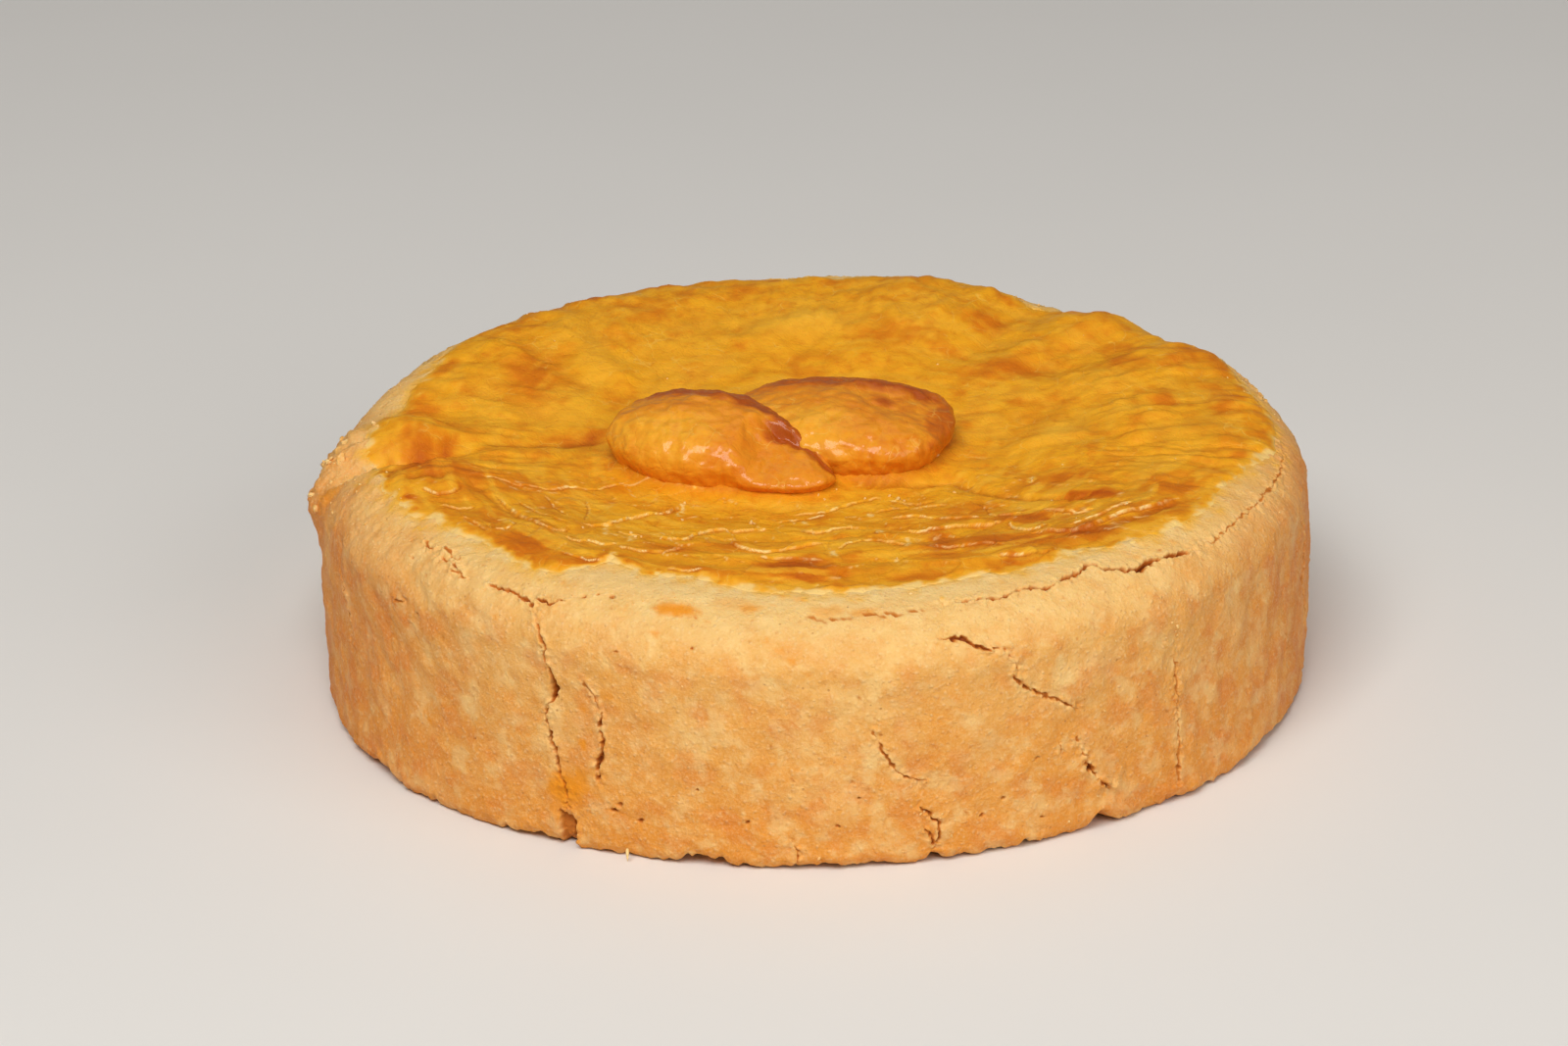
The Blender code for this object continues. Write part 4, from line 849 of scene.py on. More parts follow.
def make_crust():
    # directions run once round from the back, closer together at the front
    front = np.arange(-180.0, 0.0, math.degrees(0.375 / PIE_RADIUS))
    back = np.arange(0.0, 180.0, math.degrees(0.78 / PIE_RADIUS))
    thetas = np.sort(np.concatenate([front, back, [-180.0 + 1e-9]]))
    thetas = np.concatenate([thetas[thetas > -90.0 + 0], thetas[thetas <= -90.0] + 360.0])
    thetas = np.sort(np.unique(np.round(thetas, 6)))
    thetas = np.append(thetas, thetas[0] + 360.0)
    # the seam of the sheet is moved to the back
    shift = thetas[0] - 90.0
    qs = np.concatenate([
        [0.0, 10.0, 20.0, 30.0, 35.0, 38.0, 39.0], np.arange(39.6, CREST_RADIUS + ARC + WALL_TOP - 1.0, 0.37),
    ])
    end = CREST_RADIUS + ARC + WALL_TOP
    qs = np.append(qs, [end - 0.8, end - 0.45, end - 0.15, end + 0.3, end + 0.9, end + 2.0, end + 4.0, end + 9.0, end + 18.0, end + 32.0, end + 50.0])
    order = np.sort((thetas[:-1]) % 360.0)
    cols = np.concatenate([order[order >= 90.0], order[order < 90.0] + 360.0, [order[order >= 90.0][0] + 360.0]])
    pts, quads = sheet(cols, qs)
    build = to_bmesh(pts, quads)
    refine(build, lambda m: crack_near(turn_between(m[:, 0], 0.0), m[:, 1] - CREST_RADIUS, 0.32))
    refine(build, lambda m: crack_near(turn_between(m[:, 0], 0.0), m[:, 1] - CREST_RADIUS, 0.0))
    uv = flat_points(build)
    theta, q = turn_between(uv[:, 0], 0.0), uv[:, 1]
    q_body = np.minimum(q, end)
    p, up = body_point(theta, q_body)
    d, masks = crust_relief(theta, q_body, p)
    # under the washed lid the crust lies lower
    under = wash_edge(theta) + edge_wobble(p) - q
    d = d * (1.0 - 0.8 * smooth((under - 0.4) / 1.2)) - 1.3 * smooth((under - 0.5) / 1.3)
    p = p + up * d[:, None]
    # the foot: rounded under, lifted here and there, then flat
    r = np.hypot(p[:, 0], p[:, 1])
    lift = waves(theta, FOOT_LIFTS) * np.clip(1.0 - p[:, 2] / 4.0, 0.0, 1.0)
    round_ = np.stack([50 * np.cos(np.radians(theta)), 50 * np.sin(np.radians(theta)), 0 * theta], -1)
    chip = 0.50 * np.maximum(0.0, fractal(round_, 1.7, 3, 301)) + 0.30 * np.maximum(0.0, noise(round_ / 0.62, 305))
    for at, wide, high in ((-143.2, 0.5, 0.5), (-137.6, 0.4, 0.6), (-104.9, 0.5, 0.5), (-101.1, 0.4, 0.4), (-67.1, 0.6, 0.5), (-48.2, 0.4, 0.7), (-33.4, 0.6, 0.5), (-127.0, 0.4, 0.45)):
        chip += high * smooth((wide - np.abs(turn_between(theta, at))) / 0.22)
    chip += 0.9 * np.exp(-((turn_between(theta, -57.7) / 0.9) ** 2)) + 0.6 * np.exp(-((turn_between(theta, -77.8) / 0.8) ** 2))
    chip += 0.5 * np.exp(-((turn_between(theta, -46.8) / 0.7) ** 2)) + 0.5 * np.exp(-((turn_between(theta, -149.0) / 0.8) ** 2))
    near = np.clip(1.0 - p[:, 2] / 2.2, 0.0, 1.0)
    low = q > end - 1.2
    t = np.clip((q - (end - 1.2)) / 1.5, 0.0, 1.0) * math.pi / 2
    turned = np.where(low, 0.9 * (1.0 - np.cos(t)), 0.0)
    below = q > end + 0.3
    inner = np.clip((q - end - 0.3) / 49.7, 0.0, 1.0)
    r_new = np.where(below, (r - 0.9) * (1.0 - inner), r - turned)
    z_new = np.where(below, 0.0, p[:, 2] + np.where(low, 0.0, 0.0))
    fade = np.where(below, np.clip(1.0 - (q - end - 0.3) / 3.2, 0.0, 1.0), 1.0)
    z_new = np.maximum(z_new, 0.0) + (lift + chip * near) * fade
    # the foot spreads a little at the front left and the front right
    r_new += waves(theta, ((-141.0, 24.0, 1.3), (-37.0, 20.0, 1.0))) * np.clip(1.0 - p[:, 2] / 13.0, 0.0, 1.0) ** 1.4 * np.where(below, 1.0 - inner, 1.0)
    c, s = np.cos(np.radians(theta)), np.sin(np.radians(theta))
    p = np.stack([r_new * c, r_new * s, z_new], -1)
    masks["brown"] = np.where(below, np.clip(0.75 + 0.3 * fractal(p, 7.0, 3, 311), 0, 1), masks["brown"])
    masks["stain"] = np.where(below, 0.0, masks["stain"])
    masks["wash"] = np.where(below, 0.0, masks["wash"])
    place(build, p)
    obj = finish_mesh(build, "crust", masks, weld=2e-7)
    return obj


# ---------------------------------------------------------------- the washed lid
def disc_grid(n):
    """A square grid of n by n points from -1 to 1; to_disc turns it into a disc that keeps its cells nearly equal."""
    pts, quads = sheet(np.linspace(-1, 1, n), np.linspace(-1, 1, n))
    return pts, quads


def to_disc(ab):
    a, b = ab[:, 0], ab[:, 1]
    swap = np.abs(a) < np.abs(b)
    big = np.where(swap, b, a)
    other = np.where(swap, a, b)
    with np.errstate(divide="ignore", invalid="ignore"):
        ratio = np.where(np.abs(big) > 1e-12, other / big, 0.0)
    phi = np.where(swap, math.pi / 2 - ratio * math.pi / 4, ratio * math.pi / 4)
    x, y = big * np.cos(phi), big * np.sin(phi)
    return np.hypot(x, y), np.degrees(np.arctan2(y, x))


def lid_front(ab):
    rho, theta = to_disc(ab)
    return (rho > 0.30) & (theta > -176.0) & (theta < -8.0)


def lid_near(ab, reach):
    rho, theta = to_disc(ab)
    q = rho * (wash_edge(theta) + 1.3)
    x, y = q * np.cos(np.radians(theta)), q * np.sin(np.radians(theta))
    hit = np.zeros(len(x), bool)
    for line, high, back in FLAKES:
        idx, away, side, way = by_line(x, y, line, reach + 0.35)
        hit[idx] = True
    for line in SPLITS:
        idx, away, side, way = by_line(x, y, line, reach)
        hit[idx] = True
    return hit


def make_lid():
    pts, quads = disc_grid(178)
    build = to_bmesh(pts, quads)
    refine(build, lid_front)
    refine(build, lambda m: lid_near(m, 0.0))
    ab = flat_points(build)
    rho, theta = to_disc(ab)
    q = rho * (wash_edge(theta) + 1.3)
    p, up = body_point(theta, q)
    d, masks = lid_relief(p[:, 0], p[:, 1], theta, q, p)
    place(build, p + up * d[:, None])
    masks = close_under(build, masks, (0.0, 0.0, 19.5 * MM))
    return finish_mesh(build, "lid", masks)


# ---------------------------------------------------------------- the ornaments
def make_ornament(name):
    shape = ORNAMENTS[name]
    left = name == "ornament_left"
    pts, quads = disc_grid(190)
    build = to_bmesh(pts, quads)
    rho, deg = to_disc(flat_points(build))
    u = np.radians(deg)
    lat = math.pi / 2 - rho * math.radians(116.0)
    ring, low = np.cos(lat), math.sin(math.radians(-24.0))
    level = (np.sin(lat) - low) / (1.0 - low)
    length, width = shape["half"]
    c, s = np.cos(u), np.sin(u)
    t = math.radians(shape["turn"])
    x, y = ornament_plan(name, c, s, ring)
    lx, ly = ring * c, ring * s                       # place within the ornament, -1 to 1
    up = np.sign(level) * np.abs(level) ** (0.74 if left else 0.66)
    high = shape["high"] * up
    seed = 401 if left else 431
    wobble = 0.06 * noise(np.stack([lx, ly, up], -1) * 2.3, seed + 30)
    if left:
        # the body falls away towards the tip and ends in a step; a small lobe lies in front of and below it
        before = 0.62 * lx - 0.26 - ly + wobble                # above nothing: in front of the step
        begun = smooth((lx - 0.28) / 0.22)
        step = smooth(before / 0.11) * begun
        high = high * (0.94 - 0.22 * smooth((lx + 0.1) / 1.1) - 0.36 * step)
        high = high * (1.0 - 0.24 * smooth((lx - 0.60 + wobble) / 0.09) * (1.0 - smooth(before / 0.11)))
        lobe = np.exp(-(((lx - 0.66) / 0.26) ** 2 + ((ly + 0.12) / 0.30) ** 2))
        high = high + 1.25 * lobe * smooth((level - 0.02) / 0.2) * smooth((before + 0.02) / 0.12)
        dent = np.exp(-(((before - 0.02) / 0.07) ** 2)) * begun * smooth((level - 0.12) / 0.3)
        high = high - 0.42 * dent
    else:
        dent = np.exp(-(((ly + 0.05) / 0.22) ** 2 + ((lx - 0.38) / 0.20) ** 2))
        high = high * (0.90 - 0.12 * smooth((lx + 0.1) / 1.0)) - 0.30 * dent + 0.25 * np.exp(-(((ly - 0.30) / 0.16) ** 2)) * smooth((level - 0.3) / 0.4) * smooth((lx + 0.4) / 0.5)
    floor = lid_height(x, y)
    z = floor + GAP + np.maximum(high, 0.0) + np.minimum(level, 0.0) * 6.0
    p = np.stack([x, y, z], -1)
    # relief stands away from the middle
    out = np.stack([ring * c * 0.9, ring * s * 0.9, np.maximum(np.sin(lat), 0.0) + 0.15], -1)
    out /= np.linalg.norm(out, axis=1, keepdims=True)
    yaw = np.stack([out[:, 0] * math.cos(t) - out[:, 1] * math.sin(t), out[:, 0] * math.sin(t) + out[:, 1] * math.cos(t), out[:, 2]], -1)
    d = 0.34 * fractal(p, 5.0, 2, seed) + 0.16 * fractal(p, 1.9, 2, seed + 4) + 0.05 * fractal(p, 0.8, 2, seed + 8)
    d += 0.16 * (np.abs(noise(p / 3.4, seed + 10)) - 0.3) + 0.10 * noise(p / 1.25, seed + 11)
    if left:
        d += smooth((lx - 0.15) / 0.3) * (0.22 * np.abs(noise(p / 1.9, seed + 13)) + 0.10 * noise(p / 0.9, seed + 14))
    # brushed streaks in the wash run down the sides
    brush = np.stack([x / 0.8, y / 0.8, z * 0.14], -1)
    streak = noise(brush, seed + 12)
    side = smooth((0.75 - np.sin(lat)) / 0.4)
    d += 0.05 * side * streak
    dist, own = cells(p / 1.5, seed + 15)
    d += 0.05 * smooth((0.34 - dist) / 0.25) * (own[:, 0] > 0.55)
    top = smooth((level - 0.40) / 0.4)
    brown, shade = np.zeros(len(x)), np.zeros(len(x))
    ragged = 0.10 * fractal(p, 1.6, 2, 461)
    if left:
        # the ridge behind the top browns most, then the upper side of the lobe
        brown = np.maximum(brown, 0.85 * smooth((ly + 0.16 + ragged) / 0.42) * top)
        ridge = np.exp(-(((ly - 0.26 + 0.25 * lx + ragged) / 0.13) ** 2)) * smooth((lx + 0.55) / 0.5) * top
        brown = np.maximum(brown, ridge)
        lid_of_lobe = begun * smooth((before + 0.03) / 0.06) * smooth((0.36 + 0.8 * ragged - before) / 0.18)
        brown = np.maximum(brown, 1.0 * lid_of_lobe)
        brown = np.maximum(brown, 0.34 * smooth((lx - 0.20 - 0.16 * ly) / 0.4))
        shade = np.maximum(shade, 0.70 * np.exp(-(((before - 0.03) / 0.06) ** 2)) * begun * smooth((level - 0.1) / 0.3))
        shade = np.maximum(shade, 0.45 * ridge * smooth((lx + 0.1) / 0.3))
    else:
        edge_ = np.exp(-(((ly - 0.34 + 0.12 * lx + ragged) / 0.15) ** 2)) * smooth((lx + 0.35) / 0.4) * top
        brown = np.maximum(brown, 0.95 * edge_)
        brown = np.maximum(brown, 0.78 * smooth((ly + 0.12 + ragged) / 0.42) * top)
        # painted shade: browner at the right end, which turns from the light, and in the dent
        brown = np.maximum(brown, 0.70 * smooth((lx - 0.62 + 1.2 * ragged) / 0.34) * smooth((level + 0.1) / 0.4))
        brown = np.maximum(brown, 0.85 * np.exp(-(((lx - 0.36) / 0.13) ** 2 + ((ly + 0.04) / 0.11) ** 2)))
        brown = np.maximum(brown, 0.45 * smooth((-0.05 - lx) / 0.4) * smooth((ly + 0.2) / 0.3))
        shade = np.maximum(shade, 0.30 * edge_)
    brown = np.maximum(brown, 0.40 * smooth((fractal(p, 3.0, 2, seed + 20) - 0.0) / 0.5))
    brown = np.maximum(brown, 0.30 + 0.20 * streak * side)
    # lighter on the lower front left, where the key light falls: painted light
    bright = smooth((-ly - 0.20) / 0.35) * smooth((0.32 - lx) / 0.5) * smooth((level - 0.08) / 0.2) * (0.75 + 0.5 * streak)
    shade = np.maximum(shade, 0.22 * smooth((0.12 - level) / 0.12))
    zero = np.zeros(len(x))
    place(build, p + yaw * (d * smooth((level + 0.1) / 0.15))[:, None])
    bright = np.clip(bright, 0, 1)
    masks = dict(brown=np.clip(brown, 0, 1) * (1 - 0.75 * bright), bright=0.55 * bright, edge=zero, shade=np.clip(shade, 0, 1), thin=zero)
    mid = lid_height(np.array([shape["at"][0]]), np.array([shape["at"][1]]))[0]
    masks = close_under(build, masks, (shape["at"][0] * MM, shape["at"][1] * MM, (mid - 1.8) * MM))
    return finish_mesh(build, name + "_fine", masks)


# ---------------------------------------------------------------- crumbs
def make_crumbs():
    rng = np.random.RandomState(77)
    spots = []                                       # direction, distance out, size in mm, sunk share

    def scatter(count, t0, t1, w0, w1, small, large, sunk=0.5):
        for _ in range(count):
            spots.append((rng.uniform(t0, t1), CREST_RADIUS + rng.uniform(w0, w1), small + (large - small) * rng.rand() ** 2.2, sunk))

    for at, down, size in ((-176.5, 4.6, 0.70), (-178.6, 7.2, 0.75), (-175.2, 9.4, 0.60), (-172.4, 10.4, 0.55), (-181.0, 5.4, 0.60), (-184.0, 2.6, 0.50)):
        spots.append((at, CREST_RADIUS + down, size, 0.80))
    scatter(26, -186.0, -164.0, 1.5, 12.0, 0.14, 0.36, 0.62)
    scatter(40, -166.0, -120.0, 1.2, 8.5, 0.08, 0.20)
    scatter(34, -120.0, -60.0, 0.2, 3.5, 0.08, 0.18)
    scatter(30, -60.0, 20.0, 2.0, 9.0, 0.08, 0.20)
    scatter(50, 20.0, 180.0, 3.0, 9.0, 0.10, 0.28)
    scatter(18, -58.4, -54.6, 25.6, 28.2, 0.12, 0.32)
    scatter(8, -50.0, -46.0, 11.0, 13.0, 0.10, 0.22)
    scatter(8, -80.0, -75.0, 24.4, 27.6, 0.10, 0.22)
    scatter(14, -180.0, 180.0, 28.4, 29.6, 0.12, 0.26)
    scatter(60, -180.0, 180.0, 10.0, 28.0, 0.07, 0.16)
    lid = (
        (-6.3, -20.6, 0.40), (-6.0, -19.9, 0.24), (-17.5, -27.0, 0.26), (-16.9, -26.6, 0.22), (-15.0, -26.6, 0.20), (-13.1, -19.9, 0.22), (0.4, -13.2, 0.18),
        (8.3, -13.7, 0.30), (8.9, -14.3, 0.24), (7.4, -13.1, 0.2), (7.6, -33.9, 0.16), (30.3, -22.4, 0.34), (23.3, -17.4, 0.2), (21.7, -10.9, 0.2), (13.9, -12.3, 0.28),
        (-12.9, -13.4, 0.22), (2.2, -11.6, 0.16), (-22.6, -24.2, 0.16), (5.0, -13.6, 0.2), (-17.9, -25.6, 0.2), (1.0, -13.9, 0.18), (12.5, -4.6, 0.26),
    )
    for x, y, size in lid:
        spots.append((math.degrees(math.atan2(y, x)), math.hypot(x, y), size, 0.45))
    for _ in range(14):
        a, r = rng.uniform(-180, 180), 12.0 + 28.0 * math.sqrt(rng.rand())
        if math.hypot(r * math.cos(math.radians(a)) + 3, r * math.sin(math.radians(a)) + 1.5) > 20.0:
            spots.append((a, r, rng.uniform(0.07, 0.14), 0.45))

    theta = turn_between(np.array([s[0] for s in spots]), 0.0)
    q = np.array([s[1] for s in spots])
    base, up = body_point(theta, q)
    on_lid = q < wash_edge(theta) - 0.3
    d_crust, _ = crust_relief(theta, q, base)
    d_lid, _ = lid_relief(base[:, 0], base[:, 1], theta, q, base)
    d = np.where(on_lid, d_lid, np.clip(d_crust, -0.3, 1.0))
    build = bmesh.new()
    tone = []
    for k, (_, _, size, sunk) in enumerate(spots):
        made = bmesh.ops.create_icosphere(build, subdivisions=3 if size > 0.45 else 2, radius=1.0)["verts"]
        co = np.array([v.co[:] for v in made])
        shape = size * rng.uniform(0.65, 1.25, 3)
        # broken faces
        for _ in range(7):
            face = rng.normal(size=3)
            face /= np.linalg.norm(face)
            over = np.maximum(co @ face - rng.uniform(0.35, 0.75), 0.0)
            co = co - over[:, None] * face
        co = co * (1.0 + 0.34 * noise(co * 1.2 + 31.0 * k, 501) + 0.24 * noise(co * 2.9 + 17.0 * k, 503))[:, None]
        a, tilt = rng.uniform(0, math.tau), rng.uniform(-0.8, 0.8)
        rot = np.array([[math.cos(a), -math.sin(a), 0], [math.sin(a), math.cos(a), 0], [0, 0, 1]]) @ np.array(
            [[1, 0, 0], [0, math.cos(tilt), -math.sin(tilt)], [0, math.sin(tilt), math.cos(tilt)]]
        )
        co = (co * shape) @ rot.T
        centre = base[k] + up[k] * (d[k] + size * (0.55 - sunk))
        low = co[:, 2].min()
        centre[2] = max(centre[2], 0.02 - low)
        for v, c in zip(made, co):
            v.co = (centre + c) * MM
            tone.append(0.35 if on_lid[k] else 0.10 + 0.6 * ((k * 37) % 11) / 11.0)
    # a sliver of dough that hangs at the foot, left of the middle
    at = math.radians(-111.4)
    foot = np.array([50.7 * math.cos(at), 50.7 * math.sin(at), 1.25])
    made = bmesh.ops.create_icosphere(build, subdivisions=2, radius=1.0)["verts"]
    for v in made:
        c = np.array(v.co[:])
        narrow = 0.26 * (0.55 + 0.45 * c[2])
        v.co = (foot + np.array([c[0] * narrow, c[1] * narrow - 0.35 * (0.5 - 0.5 * c[2]), c[2] * 0.62 - 0.55])) * MM
        tone.append(0.9)
    return finish_mesh(build, "crumbs", dict(tone=np.array(tone)))


# ---------------------------------------------------------------- materials
def rgb(r, g, b):
    """A colour given as screen values 0-255, as the linear values that a shader takes."""
    def lin(v):
        v /= 255.0
        return v / 12.92 if v <= 0.04045 else ((v + 0.055) / 1.055) ** 2.4
    return (lin(r), lin(g), lin(b), 1.0)


class Net:
    """A small helper to write a material's nodes."""

    def __init__(self, name):
        self.mat = bpy.data.materials.new(name)
        self.mat.use_nodes = True
        self.tree = self.mat.node_tree
        self.shader = self.tree.nodes["Principled BSDF"]
        self.at = self.add("ShaderNodeTexCoord").outputs["Object"]

    def add(self, kind, **settings):
        node = self.tree.nodes.new(kind)
        for k, v in settings.items():
            setattr(node, k, v)
        return node

    def put(self, socket, value):
        if isinstance(value, bpy.types.NodeSocket):
            self.tree.links.new(value, socket)
        else:
            socket.default_value = value

    def mask(self, name):
        return self.add("ShaderNodeAttribute", attribute_name=name).outputs["Fac"]

    def noise(self, size_mm, detail=2.0, rough=0.5, warp=0.0, where=None):
        node = self.add("ShaderNodeTexNoise")
        self.put(node.inputs["Vector"], self.at if where is None else where)
        node.inputs["Scale"].default_value = 1000.0 / size_mm
        node.inputs["Detail"].default_value = detail
        node.inputs["Roughness"].default_value = rough
        node.inputs["Distortion"].default_value = warp
        return node.outputs["Fac"]

    def dots(self, size_mm, where=None, feature="F1"):
        node = self.add("ShaderNodeTexVoronoi", feature=feature)
        self.put(node.inputs["Vector"], self.at if where is None else where)
        node.inputs["Scale"].default_value = 1000.0 / size_mm
        return node.outputs["Distance"], node.outputs.get("Color")

    def step(self, value, low, high, out_low=0.0, out_high=1.0):
        node = self.add("ShaderNodeMapRange", interpolation_type="SMOOTHSTEP")
        self.put(node.inputs["Value"], value)
        for name, v in (("From Min", low), ("From Max", high), ("To Min", out_low), ("To Max", out_high)):
            node.inputs[name].default_value = v
        return node.outputs["Result"]

    def math(self, op, a, b=0.0, clamp=False):
        node = self.add("ShaderNodeMath", operation=op, use_clamp=clamp)
        self.put(node.inputs[0], a)
        self.put(node.inputs[1], b)
        return node.outputs[0]

    def mix(self, amount, a, b, blend="MIX"):
        node = self.add("ShaderNodeMix", data_type="RGBA", blend_type=blend)
        self.put(node.inputs[0], amount)
        self.put(node.inputs[6], a)
        self.put(node.inputs[7], b)
        return node.outputs[2]

    def bumps(self, heights):
        """Heights in mm times 0 to 1, one on top of another."""
        last = None
        for value, mm in heights:
            node = self.add("ShaderNodeBump")
            node.inputs["Strength"].default_value = 1.0
            node.inputs["Distance"].default_value = mm * MM
            self.put(node.inputs["Height"], value)
            if last is not None:
                self.tree.links.new(last, node.inputs["Normal"])
            last = node.outputs["Normal"]
        self.tree.links.new(last, self.shader.inputs["Normal"])

    def skin(self, **values):
        for k, v in values.items():
            self.shader.inputs[k.replace("_", " ")].default_value = v


def pastry_material():
    m = Net("pastry_baked")
    broad, mid, fine, sand = m.noise(6.0, 4.0, 0.55, 0.4), m.noise(1.9, 4.0, 0.62), m.noise(0.62, 3.0, 0.65), m.noise(0.24, 2.0, 0.7)
    # gold: golder towards the foot, partly painted warm bounce light
    colour = m.mix(m.mask("gold"), rgb(237, 188, 108), rgb(235, 154, 58))
    # mottling: golden and pale blotches of several sizes
    colour = m.mix(m.math("MULTIPLY", m.step(broad, 0.48, 0.66), 0.45), colour, rgb(232, 154, 58))
    colour = m.mix(m.math("MULTIPLY", m.step(broad, 0.46, 0.30), 0.45), colour, rgb(250, 208, 134))
    colour = m.mix(m.math("MULTIPLY", m.step(mid, 0.50, 0.72), 0.42), colour, rgb(228, 148, 52))
    colour = m.mix(m.math("MULTIPLY", m.step(mid, 0.48, 0.28), 0.45), colour, rgb(252, 214, 142))
    # brown: baked browning, with painted shade at the far sides, in hollows, creases and below skin edges
    colour = m.mix(m.math("MULTIPLY", m.mask("brown"), 0.80), colour, rgb(224, 128, 46))
    # pale: rubbed crumb, with painted light on the crest and shoulder
    colour = m.mix(m.math("MULTIPLY", m.mask("pale"), 0.80), colour, rgb(247, 214, 146))
    # freckles, grains and pores
    spot, own = m.dots(1.25)
    keep = m.step(m.noise(3.1, 1.0), 0.52, 0.60)
    freckle = m.math("MULTIPLY", m.step(spot, 0.20, 0.05), keep)
    colour = m.mix(m.math("MULTIPLY", freckle, 0.45), colour, rgb(208, 124, 44))
    grain, own_grain = m.dots(0.62)
    colour = m.mix(m.math("MULTIPLY", m.step(grain, 0.34, 0.10), 0.22), colour, rgb(255, 226, 172))
    # darker pores: painted shade in the pits of the bump
    pore, own2 = m.dots(0.95)
    keep2 = m.step(m.noise(1.7, 1.0), 0.58, 0.66)
    pored = m.math("MULTIPLY", m.step(pore, 0.17, 0.08), keep2)
    colour = m.mix(m.math("MULTIPLY", pored, 0.55), colour, rgb(176, 104, 46))
    colour = m.mix(m.math("MULTIPLY", m.step(fine, 0.55, 0.76), 0.34), colour, rgb(247, 212, 150))
    colour = m.mix(m.math("MULTIPLY", m.step(fine, 0.44, 0.24), 0.36), colour, rgb(206, 130, 58))
    colour = m.mix(m.math("MULTIPLY", m.step(sand, 0.42, 0.70), 0.18), colour, rgb(249, 220, 166))
    colour = m.mix(m.math("MULTIPLY", m.mask("wash"), 0.85), colour, rgb(242, 178, 56))
    colour = m.mix(m.math("MULTIPLY", m.mask("stain"), 0.92), colour, rgb(238, 148, 22))
    # painted shade in the cracks, holes, pits and notch, from orange-brown to nearly black in the open slit
    deep = m.mask("recess_shade")
    colour = m.mix(m.step(deep, 0.0, 0.45), colour, rgb(206, 126, 48))
    colour = m.mix(m.step(deep, 0.42, 0.9), colour, rgb(140, 66, 22))
    colour = m.mix(m.step(deep, 0.88, 1.0), colour, rgb(86, 30, 8))
    m.put(m.shader.inputs["Base Color"], colour)
    rough = m.step(m.noise(2.4, 2.0), 0.3, 0.7, 0.50, 0.70)
    m.put(m.shader.inputs["Roughness"], rough)
    m.skin(Specular_IOR_Level=0.16, Subsurface_Weight=0.10, Subsurface_Scale=0.0012)
    m.shader.inputs["Subsurface Radius"].default_value = (1.0, 0.5, 0.2)
    m.bumps(((mid, 0.10), (fine, 0.16), (sand, 0.06), (m.step(grain, 0.45, 0.0), 0.05), (m.step(pore, 0.0, 0.17), 0.04)))
    return m.mat


def glaze_material(name, yellow, amber, brown, level, gloss, coat):
    m = Net(name)
    broad, mid, fine, sand = m.noise(5.0, 3.0, 0.55, 0.8), m.noise(1.7, 3.0, 0.6, 0.3), m.noise(0.6, 3.0, 0.6), m.noise(0.25, 2.0, 0.7)
    colour = m.mix(m.math("MULTIPLY", m.step(broad, 0.50, 0.74), 0.55), yellow, amber)
    colour = m.mix(m.math("MULTIPLY", m.step(mid, 0.52, 0.76), 0.45), colour, amber)
    # bright: lighter glaze, partly painted light
    colour = m.mix(m.math("MULTIPLY", m.mask("bright"), 0.85), colour, rgb(250, 188, 54))
    # brown: baked browning, partly painted shade
    deep = m.mask("brown")
    colour = m.mix(m.step(m.math("ADD", deep, m.math("MULTIPLY", m.math("SUBTRACT", mid, 0.5), 0.45)), 0.06, 0.55), colour, amber)
    colour = m.mix(m.step(m.math("ADD", deep, m.math("MULTIPLY", m.math("SUBTRACT", fine, 0.5), 0.40)), 0.34, 1.0), colour, brown)
    colour = m.mix(m.math("MULTIPLY", m.mask("shade"), 0.85), colour, rgb(172, 84, 8))
    # fine crazing where the wash has split
    warp = m.add("ShaderNodeTexNoise")
    m.put(warp.inputs["Vector"], m.at)
    warp.inputs["Scale"].default_value = 700.0
    warped = m.add("ShaderNodeVectorMath", operation="MULTIPLY_ADD")
    m.put(warped.inputs[0], warp.outputs["Color"])
    warped.inputs[1].default_value = (0.0012, 0.0012, 0.0012)
    m.put(warped.inputs[2], m.at)
    line, _ = m.dots(2.6, warped.outputs[0], "DISTANCE_TO_EDGE")
    where = m.step(m.noise(3.7, 2.0), 0.55, 0.64)
    craze = m.math("MULTIPLY", m.step(line, 0.030, 0.008), where)
    colour = m.mix(m.math("MULTIPLY", craze, 0.30), colour, rgb(250, 206, 96))
    colour = m.mix(m.math("MULTIPLY", m.step(fine, 0.58, 0.80), 0.20), colour, rgb(252, 196, 66))
    colour = m.mix(m.math("MULTIPLY", m.step(fine, 0.42, 0.22), 0.25), colour, rgb(184, 94, 8))
    colour = m.mix(m.mask("edge"), colour, rgb(252, 226, 154))
    washed = m.mask("thin")
    colour = m.mix(m.step(washed, 0.0, 0.55), colour, rgb(240, 172, 48))
    colour = m.mix(m.step(washed, 0.40, 1.0), colour, rgb(248, 208, 128))
    m.put(m.shader.inputs["Base Color"], colour)
    m.put(m.shader.inputs["Roughness"], m.step(m.noise(1.3, 2.0), 0.3, 0.7, gloss, gloss + 0.16))
    m.skin(Specular_IOR_Level=level, Coat_Weight=coat, Coat_Roughness=0.12, Subsurface_Weight=0.06, Subsurface_Scale=0.001)
    m.shader.inputs["Subsurface Radius"].default_value = (1.0, 0.4, 0.08)
    m.bumps(((mid, 0.08), (fine, 0.08), (sand, 0.02), (m.step(line, 0.0, 0.05), 0.02)))
    return m.mat


